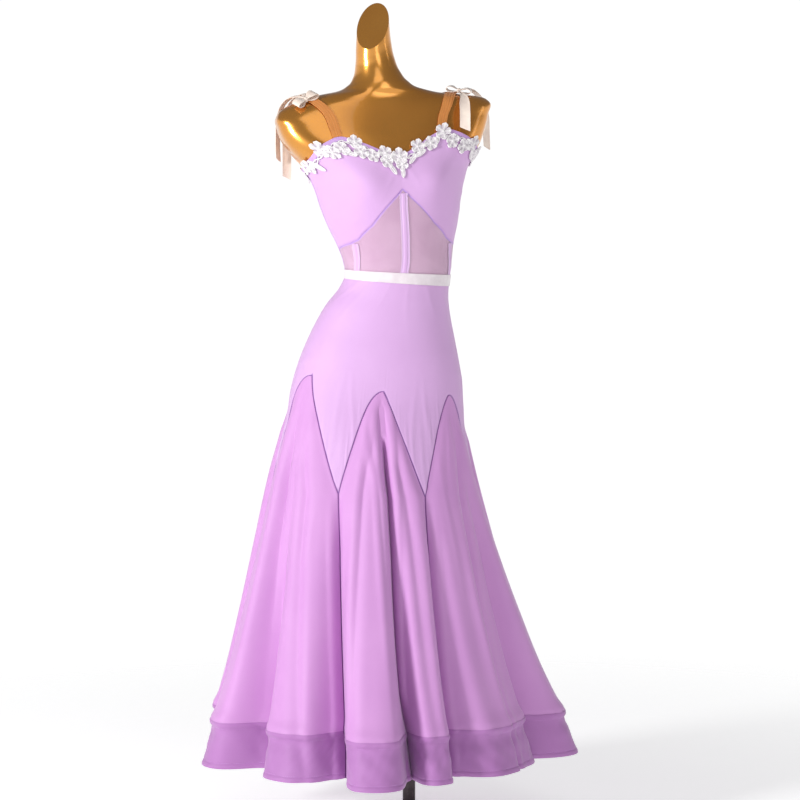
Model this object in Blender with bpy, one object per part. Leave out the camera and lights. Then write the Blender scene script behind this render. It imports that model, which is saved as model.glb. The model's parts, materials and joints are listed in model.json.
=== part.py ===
"""Ballroom dance dress worn by a limbless dress form on a stand.

Metres, +Z up. The origin is under the middle of the stand's base, and the
dress front faces -Y. Every piece of cloth is a closed wall of its real cut.
"""
import math

import bmesh
import bpy
import numpy as np
from mathutils import Vector
from mathutils.geometry import delaunay_2d_cdt

for old in list(bpy.data.objects):
    bpy.data.objects.remove(old)

MM = 0.001
GAP = 0.3 * MM
SWAY_TURN = 12.0

# Sections of the body under the cloth: millimetres and degrees.
# level is the height at the section's middle, side its shift along the sway
# direction, square the superellipse power, tilt lifts the +X side and pitch
# drops the front.
SECTION_COLUMNS = (
    "level", "side", "half", "front", "back", "square", "twist", "tilt", "pitch")
UPPER_BODY = [
    (1072, -23.5, 98, 77, 82, 2.1, -3, -3.8, 0),
    (1100, -23, 102, 79, 80, 2.1, 0, -2.6, 0),
    (1140, -27, 111, 85, 80, 2.1, 2, 0.3, 0),
    (1180, -32, 124, 96, 82, 2.2, 2, 1.9, 0),
    (1220, -37, 134, 104, 86, 2.3, 2, 2.8, 0),
    (1255, -39, 143, 106, 91, 2.3, 2, 3.3, 0),
    (1285, -41, 155, 102, 94, 2.4, 2, 3.8, 0),
    (1315, -43, 178, 92, 92, 2.7, 2, 4.0, 0),
    (1345, -48, 196, 79, 86, 3.0, 2, 4.2, 0),
    (1375, -50, 207, 65, 76, 3.0, 2, 4.3, 0),
    (1400, -50, 210, 54, 66, 2.8, 2, 4.4, 0),
    (1412, -54, 195, 50, 62, 2.5, 2, 4.0, 0),
    (1422, -60, 158, 48, 60, 2.2, 2, 3.0, 0),
    (1431, -62, 112, 47, 59, 2.1, 0, 2.0, 0),
    (1438, -61, 80, 47, 58, 2.0, -4, 3.0, 0),
    (1450, -61, 58, 45, 54, 2.0, -8, 5.0, 0),
    (1466, -63, 46, 41, 48, 2.0, -12, 8.0, 5),
    (1492, -66, 38, 36, 40, 2.0, -16, 8.0, 16),
    (1524, -69, 34, 34, 36, 2.0, -20, 6.0, 38),
    (1560, -70, 31, 33, 33, 2.0, -24, 4.0, 54),
]
FORM_HIPS = [
    (758, -66, 112, 76, 82, 2.1, -6, 0.0, 0),
    (768, -66, 137, 90, 98, 2.1, -6, -2.4, 0),
    (784, -65, 151, 95, 107, 2.1, -6, -4.2, 0),
    (814, -64, 157, 97, 111, 2.2, -6, -4.5, 0),
    (850, -62, 158, 98, 115, 2.2, -6, -5.3, 0),
    (890, -57, 154, 96, 118, 2.2, -6, -5.3, 0),
    (930, -53, 143, 94, 117, 2.2, -6, -5.1, 0),
    (970, -48, 131, 90, 112, 2.1, -6, -4.9, 0),
    (1010, -41, 116.5, 85.5, 102.5, 2.1, -6, -4.7, 0),
    (1045, -30, 102.5, 80.5, 89.5, 2.1, -5, -4.5, 0),
]
SKIRT_BASE = [
    (110, -44, 258, 256, 262, 2.0, -6, 0, 0),
    (139, -45, 254, 252, 258, 2.0, -6, 0, 0),
    (228, -50, 243, 240, 246, 2.0, -6, 0, 0),
    (320, -56, 231, 224, 232, 2.0, -6, 0, 0),
    (440, -62, 219, 204, 216, 2.0, -6, 0, 0),
    (560, -66, 209, 186, 198, 2.0, -6, -1.1, 0),
    (680, -69, 193, 160, 174, 2.0, -6, -2.0, 0),
    (760, -66, 177, 134, 150, 2.1, -6, -3.5, 0),
    (800, -64.5, 169, 119, 136, 2.2, -6, -4.4, 0),
    (840, -62.5, 165, 107, 125, 2.2, -6, -5.2, 0),
    (890, -57, 157, 99, 122, 2.2, -6, -5.3, 0),
    (930, -53, 146, 96, 120, 2.2, -6, -5.1, 0),
    (970, -48, 133, 92, 114, 2.1, -6, -4.9, 0),
    (1010, -41, 118, 87, 104, 2.1, -6, -4.7, 0),
    (1045, -30, 103, 81, 90, 2.1, -5, -4.5, 0),
]
CUP = {"turn": 27.0, "turn_spread": 15.0, "level": 1262.0, "level_spread": 36.0, "rise": 11.0}

# Edges of the bodice: turn in degrees from the front, level in millimetres.
NECKLINE = [
    (0, 1310), (6, 1315.5), (12.5, 1326), (20, 1341), (29, 1352.5), (36, 1346),
    (42, 1338), (54, 1321), (70, 1309), (93, 1300), (120, 1296), (150, 1293), (180, 1292)]
UNDERBUST = [
    (0, 1247), (6, 1232), (15, 1212), (28, 1181), (47, 1152), (58, 1144.5), (93, 1131)]
WAIST = 1076.0
RIBBON_WIDTH = 21.0
SIDE_SEAM = 93.0

# Godets: the yoke's points lie between them. bend is the power of the seam
# curve on each side of the apex, and hem_turn where the seam ends at the hem.
GODET_COLUMNS = ("apex_turn", "apex_level", "left_bend", "right_bend")
GODETS = [
    (-154.3, 866, 0.7, 0.7),
    (-109.0, 880, 0.7, 0.5),
    (-54.0, 876, 0.42, 1.0),
    (0.0, 860, 0.5, 0.8),
    (50.0, 862, 0.7, 0.5),
    (103.0, 872, 0.5, 0.7),
    (154.3, 866, 0.7, 0.7),
]
POINT_COLUMNS = ("turn", "level", "hem_turn")
YOKE_POINTS = [
    (-180.0, 676, -180.0),
    (-128.6, 676, -134.0),
    (-90.0, 676, -100.0),
    (-24.5, 667, -23.4),
    (25.2, 664, 22.5),
    (77.0, 672, 102.0),
    (128.6, 676, 138.0),
    (180.0, 676, 180.0),
]
BAND_LEVEL = 228.0
HEM_LEVEL = 139.0

# Ridges of the hanging folds: place and width run from 0 to 1 across the
# godet, height and overhang are millimetres at the hem, start is the level
# where the fold begins.
FOLD_COLUMNS = ("godet", "place", "width", "height", "overhang", "start")
FOLDS = [
    (0, 0.27, 0.26, 96, 16, 780), (0, 0.76, 0.23, 88, 14, 780),
    (1, 0.26, 0.25, 100, 18, 790), (1, 0.75, 0.24, 104, 16, 790),
    (2, 0.30, 0.19, 112, 18, 830), (2, 0.745, 0.255, 76, 20, 830),
    (3, 0.31, 0.30, 112, 24, 830), (3, 0.80, 0.19, 66, 10, 830),
    (4, 0.24, 0.23, 52, 6, 820), (4, 0.50, 0.25, 44, 4, 800), (4, 0.80, 0.20, 118, 12, 800),
    (5, 0.24, 0.23, 94, 16, 790), (5, 0.74, 0.25, 102, 18, 790),
    (6, 0.28, 0.27, 92, 16, 780), (6, 0.77, 0.22, 98, 14, 780),
]
FOLD_GROWTH = [
    (110, 1.03), (139, 1.0), (228, 0.88), (320, 0.68), (440, 0.45), (560, 0.24), (680, 0.10),
    (780, 0.045), (860, 0.02)]

CLOTH = {"clear": 1.7, "thick": 1.5, "skirt_thick": 1.8}


def table(rows, columns):
    """A table of rows as a dictionary of column arrays."""
    values = np.array(rows, dtype=float)
    return {name: values[:, i] for i, name in enumerate(columns)}


def smooth(where, places, values):
    """Cubic curve through the values, with slopes taken from the neighbours."""
    slopes = np.gradient(values, places)
    where = np.clip(where, places[0], places[-1])
    i = np.clip(np.searchsorted(places, where, side="right") - 1, 0, len(places) - 2)
    span = places[i + 1] - places[i]
    t = (where - places[i]) / span
    rise = t * t * (3 - 2 * t)
    into = t * (1 - t) ** 2
    out = t * t * (1 - t)
    body = values[i] * (1 - rise) + values[i + 1] * rise
    return body + span * (slopes[i] * into - slopes[i + 1] * out)


FORM = table(FORM_HIPS + UPPER_BODY, SECTION_COLUMNS)
DRESS = table(SKIRT_BASE + UPPER_BODY, SECTION_COLUMNS)
GODET = table(GODETS, GODET_COLUMNS)
POINT = table(YOKE_POINTS, POINT_COLUMNS)
NECK_EDGE = table(NECKLINE, ("turn", "level"))
BUST_EDGE = table(UNDERBUST, ("turn", "level"))
GROWTH = table(FOLD_GROWTH, ("level", "part"))


def neckline(turn):
    """Level of the bodice's top edge."""
    turn = np.abs((np.asarray(turn, dtype=float) + 180) % 360 - 180)
    return smooth(turn, NECK_EDGE["turn"], NECK_EDGE["level"])


def underbust(turn):
    """Level of the seam between the bodice and the mesh."""
    turn = np.abs((np.asarray(turn, dtype=float) + 180) % 360 - 180)
    return np.interp(turn, BUST_EDGE["turn"], BUST_EDGE["level"])


def placed(row, x, y):
    """Put a section's own x and y, in millimetres, in the dress's place."""
    height = row["level"] + x * np.tan(np.radians(row["tilt"])) + y * np.tan(np.radians(row["pitch"]))
    twist = np.radians(row["twist"])
    turned_x = x * np.cos(twist) - y * np.sin(twist)
    turned_y = x * np.sin(twist) + y * np.cos(twist)
    sway = math.radians(SWAY_TURN)
    return np.stack((
        turned_x + row["side"] * math.cos(sway),
        turned_y - row["side"] * math.sin(sway),
        height), axis=-1) * MM


def section_row(sections, level):
    row = {name: smooth(level, sections["level"], values) for name, values in sections.items()}
    row["level"] = level
    return row


def body_point(sections, turn, level):
    """A point of the body's surface at a turn from the front and a level."""
    turn, level = np.broadcast_arrays(np.asarray(turn, dtype=float), np.asarray(level, dtype=float))
    row = section_row(sections, level)
    angle = np.radians(turn)
    side = np.sin(angle)
    ahead = np.cos(angle)
    power = row["square"]
    swell = (np.abs(side) ** power + np.abs(ahead) ** power) ** (-1 / power)
    depth = np.where(ahead > 0, row["front"], row["back"])
    x = row["half"] * swell * side
    y = -depth * swell * ahead
    wrapped = (turn + 180) % 360 - 180
    crown = np.exp(-((np.abs(wrapped) - CUP["turn"]) / CUP["turn_spread"]) ** 2)
    crown = crown * np.exp(-((level - CUP["level"]) / CUP["level_spread"]) ** 2)
    y = y - CUP["rise"] * crown
    return placed(row, x, y)


def seam_turn(point, level):
    """Turn of the seam that runs down from a yoke point to the hem."""
    down = np.clip((POINT["level"][point] - level) / (POINT["level"][point] - HEM_LEVEL), 0, 1.1)
    return POINT["turn"][point] + (POINT["hem_turn"][point] - POINT["turn"][point]) * down ** 1.3


def godet_edge(godet, right, level):
    """Turn of a godet's left or right seam at a level below its apex."""
    point = godet + 1 if right else godet
    bend = GODET["right_bend" if right else "left_bend"][godet]
    top = GODET["apex_level"][godet]
    low = POINT["level"][point]
    fall = np.clip((top - level) / (top - low), 0, 1)
    arch = GODET["apex_turn"][godet] + (POINT["turn"][point] - GODET["apex_turn"][godet]) * fall ** bend
    return np.where(level < low, seam_turn(point, level), arch)


def godet_spot(godet, across, level):
    """Turn at a place across the godet, and how far the folds stand out and lean there."""
    left = godet_edge(godet, False, level)
    right = godet_edge(godet, True, level)
    turn = left + (right - left) * across
    part = smooth(level, GROWTH["level"], GROWTH["part"])
    out = np.zeros_like(turn)
    lean = np.zeros_like(turn)
    for row in FOLDS:
        fold = dict(zip(FOLD_COLUMNS, row))
        if fold["godet"] != godet:
            continue
        begin = np.clip((fold["start"] - level) / 60, 0, 1)
        t = np.clip((across - fold["place"]) / fold["width"], -1, 1)
        out = out + part * begin * fold["height"] * (0.5 + 0.5 * np.cos(math.pi * t))
        lean = lean + part * begin * fold["overhang"] * np.sin(math.pi * t) * (0.5 + 0.5 * np.cos(math.pi * t))
    return turn, out, lean


def godet_point(godet, across, level):
    """A point of a godet's inner face."""
    across, level = np.broadcast_arrays(np.asarray(across, dtype=float), np.asarray(level, dtype=float))
    turn, out, lean = godet_spot(godet, across, level)
    row = section_row(DRESS, level)
    angle = np.radians(turn)
    power = row["square"]
    swell = (np.abs(np.sin(angle)) ** power + np.abs(np.cos(angle)) ** power) ** (-1 / power)
    depth = np.where(np.cos(angle) > 0, row["front"], row["back"])
    reach = np.hypot(row["half"] * np.sin(angle), depth * np.cos(angle))
    x = row["half"] * swell * np.sin(angle)
    y = -depth * swell * np.cos(angle)
    x_out = row["half"] * np.sin(angle) / reach
    y_out = -depth * np.cos(angle) / reach
    x = x + out * x_out - lean * y_out
    y = y + out * y_out + lean * x_out
    return placed(row, x, y)


def faced(surface, first, second, step_first, step_second):
    """Points of a surface and its outward normals, by small steps either way."""
    points = surface(first, second)
    along = surface(first + step_first, second) - surface(first - step_first, second)
    up = surface(first, second + step_second) - surface(first, second - step_second)
    normals = np.cross(along, up)
    return points, normals / np.linalg.norm(normals, axis=-1, keepdims=True)


def dress_face(turn, level):
    turn, level = np.broadcast_arrays(np.asarray(turn, dtype=float), np.asarray(level, dtype=float))
    return faced(lambda a, b: body_point(DRESS, a, b), turn, level, 1.0, 1.5)


def godet_face(godet, across, level):
    """Godet points with normals that agree with the next godet's along the seam."""
    across, level = np.broadcast_arrays(np.asarray(across, dtype=float), np.asarray(level, dtype=float))
    points, normals = faced(lambda a, b: godet_point(godet, a, b), across, level, 0.012, 1.5)
    turn, _, _ = godet_spot(godet, across, level)
    _, plain = dress_face(turn, level)
    edge = np.clip(np.minimum(across, 1 - across) / 0.10, 0, 1)[..., None]
    mixed = plain * (1 - edge) + normals * edge
    return points, mixed / np.linalg.norm(mixed, axis=-1, keepdims=True)


def draw_in(points, side, gap):
    """Move one edge of a grid inwards, square to that edge, by the gap."""
    moved = points.copy()
    edge, inner = {
        "first_row": (np.s_[0, :], np.s_[1, :]),
        "last_row": (np.s_[-1, :], np.s_[-2, :]),
        "first_column": (np.s_[:, 0], np.s_[:, 1]),
        "last_column": (np.s_[:, -1], np.s_[:, -2]),
    }[side]
    line = points[edge]
    along = np.gradient(line, axis=0)
    along = along / np.linalg.norm(along, axis=-1, keepdims=True)
    inward = points[inner] - line
    inward = inward - along * np.sum(inward * along, axis=-1, keepdims=True)
    length = np.linalg.norm(inward, axis=-1, keepdims=True)
    moved[edge] = line + inward / np.maximum(length, 1e-9) * gap
    return moved


def paint(obj, colour, roughness, metallic=0.0):
    material = bpy.data.materials.new(obj.name)
    material.use_nodes = True
    shader = material.node_tree.nodes["Principled BSDF"]
    shader.inputs["Base Color"].default_value = (*colour, 1.0)
    shader.inputs["Roughness"].default_value = roughness
    shader.inputs["Metallic"].default_value = metallic
    material.diffuse_color = (*colour, 1.0)
    obj.data.materials.append(material)
    return obj


def solid(name, vertices, faces, finish):
    """A closed body from plain points and faces, facing out, shaded smooth."""
    mesh = bmesh.new()
    corners = [mesh.verts.new(Vector(v)) for v in vertices]
    for face in faces:
        mesh.faces.new([corners[i] for i in face])
    bmesh.ops.remove_doubles(mesh, verts=mesh.verts, dist=0.00002)
    bmesh.ops.recalc_face_normals(mesh, faces=mesh.faces)
    if mesh.calc_volume(signed=True) < 0:
        bmesh.ops.reverse_faces(mesh, faces=mesh.faces)
    for face in mesh.faces:
        face.smooth = True
    data = bpy.data.meshes.new(name)
    mesh.to_mesh(data)
    mesh.free()
    obj = bpy.data.objects.new(name, data)
    bpy.context.scene.collection.objects.link(obj)
    return paint(obj, *finish)


def wall(name, points, normals, near, far, finish, ring=False):
    """A wall of cloth between two offsets, in millimetres, from a grid of points."""
    rows, columns = points.shape[:2]
    inner = points + normals * near * MM
    outer = points + normals * far * MM
    vertices = list(inner.reshape(-1, 3)) + list(outer.reshape(-1, 3))
    shift = rows * columns
    faces = []
    last = columns if ring else columns - 1
    for r in range(rows - 1):
        for c in range(last):
            a = r * columns + c
            b = r * columns + (c + 1) % columns
            faces.append((a, b, b + columns, a + columns))
            faces.append((a + shift, a + columns + shift, b + columns + shift, b + shift))
    for c in range(last):
        for r in (0, rows - 1):
            a = r * columns + c
            b = r * columns + (c + 1) % columns
            faces.append((a, a + shift, b + shift, b))
    if not ring:
        for r in range(rows - 1):
            for c in (0, columns - 1):
                a = r * columns + c
                b = a + columns
                faces.append((a, b, b + shift, a + shift))
    return solid(name, vertices, faces, finish)


LAVENDER = ((0.69, 0.48, 0.77), 0.6)
LILAC = ((0.69, 0.30, 0.75), 0.5)
MESH_CLOTH = ((0.62, 0.45, 0.63), 0.6)
TAPE = ((0.72, 0.50, 0.78), 0.6)
SATIN = ((0.92, 0.88, 0.85), 0.35)
LACE = ((0.92, 0.90, 0.91), 0.7)
ELASTIC = ((0.60, 0.26, 0.10), 0.6)
BINDING = ((0.60, 0.36, 0.72), 0.6)
GOLD = ((0.72, 0.47, 0.18), 0.25, 1.0)
STEEL = ((0.10, 0.08, 0.08), 0.35, 1.0)


def make_form():
    """The dress form: one smooth body from the hips to the slanted neck."""
    turns = np.arange(0, 360, 12.0)
    levels = [row[0] for row in FORM_HIPS] + [row[0] for row in UPPER_BODY]
    rings = [body_point(FORM, turns, np.full_like(turns, level)) for level in levels]
    count = len(turns)
    vertices = [p for ring in rings for p in ring]
    faces = []
    for r in range(len(rings) - 1):
        for c in range(count):
            a = r * count + c
            b = r * count + (c + 1) % count
            faces.append((a, b, b + count, a + count))
    vertices.append(rings[0].mean(axis=0))
    vertices.append(rings[-1].mean(axis=0))
    top = (len(rings) - 1) * count
    for c in range(count):
        d = (c + 1) % count
        faces.append((c, len(vertices) - 2, d))
        faces.append((top + c, top + d, len(vertices) - 1))
    return solid("form_body", vertices, faces, GOLD)


def turned_post(name, profile, steps, finish):
    """A solid of revolution about the pole's axis from radius and height pairs."""
    vertices = []
    faces = []
    for radius, height in profile:
        for i in range(steps):
            angle = 2 * math.pi * i / steps
            vertices.append((radius * math.cos(angle), radius * math.sin(angle), height))
    for r in range(len(profile) - 1):
        for i in range(steps):
            j = (i + 1) % steps
            faces.append((r * steps + i, r * steps + j, (r + 1) * steps + j, (r + 1) * steps + i))
    faces.append(tuple(reversed(range(steps))))
    last = (len(profile) - 1) * steps
    faces.append(tuple(range(last, last + steps)))
    return solid(name, vertices, faces, finish)


BASE_RADIUS = 150 * MM
BASE_THICK = 10 * MM
POLE_RADIUS = 12.5 * MM
FORM_FLOOR = 758.0 * MM


def make_stand():
    """Round steel foot with a collar, and the pole that carries the form."""
    turned_post("form_base", [
        (BASE_RADIUS, 0), (BASE_RADIUS, BASE_THICK - 2 * MM),
        (BASE_RADIUS - 2 * MM, BASE_THICK), (24 * MM, BASE_THICK),
        (24 * MM, BASE_THICK + 24 * MM), (21 * MM, BASE_THICK + 27 * MM)], 40, STEEL)
    turned_post("form_pole", [
        (POLE_RADIUS, BASE_THICK + 27 * MM + GAP), (POLE_RADIUS, FORM_FLOOR - 46 * MM),
        (32 * MM, FORM_FLOOR - 40 * MM), (32 * MM, FORM_FLOOR - GAP)], 20, STEEL)


BINDING_WIDTH = 9.0
BACK_COLUMNS = 20
BODICE_TURNS = [
    -93, -83, -74, -65, -57, -50, -43, -36, -30, -24, -18, -12, -6, 0,
    6, 12, 18, 24, 30, 36, 43, 50, 57, 65, 74, 83, 93]


def panel_grid(turns, low, high, rows, top_band=0.0):
    """Points and normals between two edges, with one more row under a top band."""
    turns = np.array(turns, dtype=float)
    share = np.linspace(0, 1, rows)[:, None]
    level = low + (high - top_band - low) * share
    if top_band:
        level = np.concatenate((level, high[None, :]))
    return dress_face(np.broadcast_to(turns, level.shape), level)


def cloth_wall(name, grid, near, thick, finish, gap_sides=()):
    points, normals = grid
    for side in gap_sides:
        points = draw_in(points, side, GAP / 2)
    return wall(name, points, normals, near, near + thick, finish)


def make_bodice():
    """Front with cups, back, their top bindings, and the sheer midriff."""
    clear = CLOTH["clear"]
    thick = CLOTH["thick"]
    turns = np.array(BODICE_TURNS, dtype=float)
    sides = ("first_column", "last_column")
    front = panel_grid(turns, underbust(turns), neckline(turns), 6, BINDING_WIDTH)
    cloth_wall("bodice_front", front, clear, thick, LAVENDER, sides + ("first_row",))
    back_turns = np.linspace(SIDE_SEAM, 360 - SIDE_SEAM, BACK_COLUMNS)
    lower = panel_grid(back_turns, np.full(BACK_COLUMNS, WAIST), np.full(BACK_COLUMNS, BUST_EDGE["level"][-1]), 6)
    upper = panel_grid(back_turns, np.full(BACK_COLUMNS, BUST_EDGE["level"][-1]), neckline(back_turns), 6, BINDING_WIDTH)
    back = [np.concatenate((a, b[1:])) for a, b in zip(lower, upper)]
    cloth_wall("bodice_back", back, clear, thick, LAVENDER, sides + ("first_row",))
    mesh = panel_grid(turns, np.full(len(turns), WAIST), underbust(turns), 6)
    cloth_wall("midriff_front", mesh, clear, thick, MESH_CLOTH, sides + ("first_row", "last_row"))
    near = clear + thick + 0.35
    for name, (points, normals) in (("front", front), ("back", back)):
        edge = (points[-2:], normals[-2:])
        cloth_wall("neck_binding_" + name, edge, near, 0.9, BINDING, sides)


STRIP_COLUMNS = ("name", "top_turn", "foot_turn", "half_width")
STRIPS = [
    ("strip_left", -52.0, -57.0, 6.5),
    ("strip_centre", 0.3, -1.0, 7.5),
    ("strip_right", 55.5, 65.5, 6.5),
]


def make_strips():
    """Boning tapes on the sheer midriff, from the bust seam to the waist."""
    near = CLOTH["clear"] + CLOTH["thick"] + 0.9
    foot = WAIST + RIBBON_WIDTH / 2 + 0.4
    for row in STRIPS:
        strip = dict(zip(STRIP_COLUMNS, row))
        share = np.linspace(0, 1, 6)[:, None]
        middle = strip["foot_turn"] + (strip["top_turn"] - strip["foot_turn"]) * share
        top = underbust(strip["top_turn"]) - (7.0 if strip["name"] == "strip_centre" else 4.0)
        level = foot + (top - foot) * share
        across = np.array([-1.0, -0.33, 0.33, 1.0])
        here = body_point(DRESS, middle, level)
        beside = body_point(DRESS, middle + 1, level)
        per_degree = np.linalg.norm(beside - here, axis=-1) / MM
        turn = middle + across * strip["half_width"] / per_degree
        points, normals = dress_face(turn, np.broadcast_to(level, turn.shape))
        wall(strip["name"], points, normals, near, near + 0.9, TAPE)


def make_waist_ribbon():
    """Satin ribbon all round the waist, over the seam of bodice and yoke."""
    turns = np.arange(0, 360, 9.0)
    low = np.full(len(turns), WAIST - RIBBON_WIDTH / 2)
    points, normals = panel_grid(turns, low, low + RIBBON_WIDTH, 3)
    near = CLOTH["clear"] + CLOTH["skirt_thick"] + 1.2
    wall("waist_ribbon", points, normals, near, near + 1.0, SATIN, ring=True)


EDGE_SHARES = (0.004, 0.07, 0.23, 0.46, 0.73, 1.0)


def edge_points(godet, right):
    """Turns and levels of a godet's seam from its apex to the yoke point."""
    point = godet + 1 if right else godet
    top = GODET["apex_level"][godet]
    low = POINT["level"][point]
    levels = top + (low - top) * np.array(EDGE_SHARES)
    return godet_edge(godet, right, levels), levels


def yoke_columns(first_point, last_point):
    """The yoke's lower edge from one yoke point to another, as turns and levels."""
    turns = []
    levels = []
    for godet in range(first_point, last_point):
        left_turn, left_level = edge_points(godet, False)
        right_turn, right_level = edge_points(godet, True)
        if godet == first_point:
            turns.append(left_turn[-1])
            levels.append(left_level[-1])
        turns += list(left_turn[-2::-1]) + list(right_turn)
        levels += list(left_level[-2::-1]) + list(right_level)
    return np.array(turns), np.array(levels)


def make_yoke():
    """Hip yoke of stretch cloth, front and back, ending in points."""
    gaps = ("first_column", "last_column", "first_row", "last_row")
    for name, first, last in (("yoke_front", 2, 5), ("yoke_back", 5, 9)):
        if name == "yoke_front":
            turns, low = yoke_columns(first, last)
        else:
            right_turn, right_low = yoke_columns(5, 7)
            left_turn, left_low = yoke_columns(0, 2)
            turns = np.concatenate((right_turn, left_turn[1:] + 360))
            low = np.concatenate((right_low, left_low[1:]))
        grid = panel_grid(turns, low, np.full(len(turns), WAIST), 7, 15.0)
        cloth_wall(name, grid, CLOTH["clear"], CLOTH["skirt_thick"], LAVENDER, gaps)


SKIRT_LEVELS = (580, 485, 395, 310, BAND_LEVEL)


def fold_places(godet):
    """Places across a godet where its ridges and hollows need points."""
    places = {0.0, 1.0}
    for row in FOLDS:
        fold = dict(zip(FOLD_COLUMNS, row))
        if fold["godet"] == godet:
            for t in (-1, -0.55, -0.25, 0, 0.25, 0.55, 1):
                places.add(round(fold["place"] + t * fold["width"], 3))
    kept = [0.0]
    for place in sorted(places):
        if place - kept[-1] > 0.035 and place < 0.98:
            kept.append(place)
    return np.array(kept + [1.0])


def make_skirt():
    """Seven godets set between the yoke points, each with its hem band."""
    for godet in range(len(GODETS)):
        across = fold_places(godet)[None, :]
        _, left_level = edge_points(godet, False)
        _, right_level = edge_points(godet, True)
        upper = left_level[:, None] + (right_level - left_level)[:, None] * across
        lower = np.array(SKIRT_LEVELS)[:, None] + 0 * across
        level = np.concatenate((upper, lower))
        spread = np.broadcast_to(across, level.shape)
        points, normals = godet_face(godet, spread, level)
        grid = (points[::-1], normals[::-1])
        gaps = ("first_row", "last_row", "first_column", "last_column")
        cloth_wall(f"godet_{godet + 1}", grid, CLOTH["clear"], CLOTH["skirt_thick"], LILAC, gaps)
        band_level = np.array([HEM_LEVEL, HEM_LEVEL + 10, 185, BAND_LEVEL])[:, None] + 0 * across
        grid = godet_face(godet, np.broadcast_to(across, band_level.shape), band_level)
        gaps = ("last_row", "first_column", "last_column")
        cloth_wall(f"band_{godet + 1}", grid, CLOTH["clear"], CLOTH["skirt_thick"] + 0.4, LILAC, gaps)


# Lace motifs: turn round the body, drop under the top edge and radius in
# millimetres; petals 5 is a flower, petals 1 a leaf with the given lean.
MOTIF_COLUMNS = ("turn", "drop", "radius", "petals", "lean")
FRONT_MOTIFS = [
    (-79, 7, 10, 1, 50), (-56, 15, 12, 1, -50), (-66, 8, 12, 5, 0), (-43.5, 4, 14, 5, 0),
    (-37.5, 20, 12, 5, 20), (-31, 22, 12, 5, 50), (-28.5, 33, 10, 1, -30), (-22.5, 6, 12, 5, 10),
    (-22, 24, 12, 5, 40), (-16.5, 23, 11, 5, 0), (-8.5, 4, 12, 5, 30), (-9, 21, 11, 5, 10),
    (-6, 32, 9, 1, -60), (0, 3, 14, 5, 15), (1, 19, 11, 5, 50), (1, 33, 9, 1, 90),
    (8.5, 19, 9, 1, 50), (12, 2, 12, 5, 0), (13.5, 18, 10, 1, 30), (20, 14, 12, 5, 40),
    (27, 4, 14, 5, 0), (24, 14, 8, 1, 80), (33, 21, 12, 5, 20), (41.5, 19, 12, 5, 50),
    (49.5, 4, 12, 5, 10), (54, 17, 9, 1, -40), (62, 9, 12, 5, 0), (73, 14, 10, 1, 30),
    (84, 8, 12, 5, 20),
]
BACK_MOTIF_STEP = 12.0
STEM = {"drop": 11.0, "width": 6.0}


def wrapped_lengths(first, last):
    """Turn against length round the body just under the neckline."""
    turns = np.arange(first, last + 0.25, 0.5)
    line = body_point(DRESS, turns, neckline(turns) - STEM["drop"])
    steps = np.linalg.norm(np.diff(line, axis=0), axis=1) / MM
    return turns, np.concatenate(([0.0], np.cumsum(steps)))


def motif_outline(motif):
    """Outline of one flower or leaf round its own middle, in millimetres."""
    radius = motif["radius"]
    lean = math.radians(motif["lean"])
    if motif["petals"] == 5:
        spots = [(radius * (1.0 if i % 2 == 0 else 0.86), lean + math.pi * i / 4) for i in range(8)]
        return [(r * math.cos(a), r * math.sin(a)) for r, a in spots]
    leaf = [(1.25, 0.0), (0.55, 0.42), (-0.45, 0.42), (-1.15, 0.0), (-0.45, -0.42), (0.55, -0.42)]
    return [
        (radius * (x * math.cos(lean) - y * math.sin(lean)), radius * (x * math.sin(lean) + y * math.cos(lean)))
        for x, y in leaf]


def lace_motifs(back):
    if not back:
        return [dict(zip(MOTIF_COLUMNS, row)) for row in FRONT_MOTIFS]
    motifs = []
    count = int((360 - 2 * SIDE_SEAM) // BACK_MOTIF_STEP)
    for i in range(count):
        turn = SIDE_SEAM + BACK_MOTIF_STEP * (i + 0.8)
        leaf = i % 3 == 2
        motifs.append(dict(
            turn=turn, drop=(8, 15, 13)[i % 3], radius=10 if leaf else 12,
            petals=1 if leaf else 5, lean=(37 * i) % 180))
    return motifs


def make_lace(name, first, last, back):
    """Lace edging: flowers and leaves joined by a stem, one sheet in one piece."""
    turns, lengths = wrapped_lengths(first, last)
    polygons = []
    centres = []
    stem_turns = np.arange(first + 2, last - 1, 5.0)
    stem_x = np.interp(stem_turns, turns, lengths)
    half = STEM["width"] / 2
    upper = [(x, -STEM["drop"] + half) for x in stem_x]
    lower = [(x, -STEM["drop"] - half) for x in stem_x[::-1]]
    polygons.append(lower + upper)
    for motif in lace_motifs(back):
        middle = (float(np.interp(motif["turn"], turns, lengths)), -motif["drop"])
        centres.append(middle)
        polygons.append([(middle[0] + x, middle[1] + y) for x, y in motif_outline(motif)])
    flat = []
    faces = []
    for polygon in polygons:
        faces.append(list(range(len(flat), len(flat) + len(polygon))))
        flat += polygon
    flat += centres
    spots, _, triangles, _, _, _ = delaunay_2d_cdt([Vector(v) for v in flat], [], faces, 1, 0.15)
    spots = np.array([tuple(v) for v in spots])
    turn = np.interp(spots[:, 0], lengths, turns)
    level = neckline(turn) + spots[:, 1]
    points, normals = dress_face(turn, level)
    near = CLOTH["clear"] + CLOTH["thick"] + 0.35 + 0.9 + 0.8
    sheet_wall(name, points, normals, triangles, near, near + 1.6, LACE)


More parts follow.
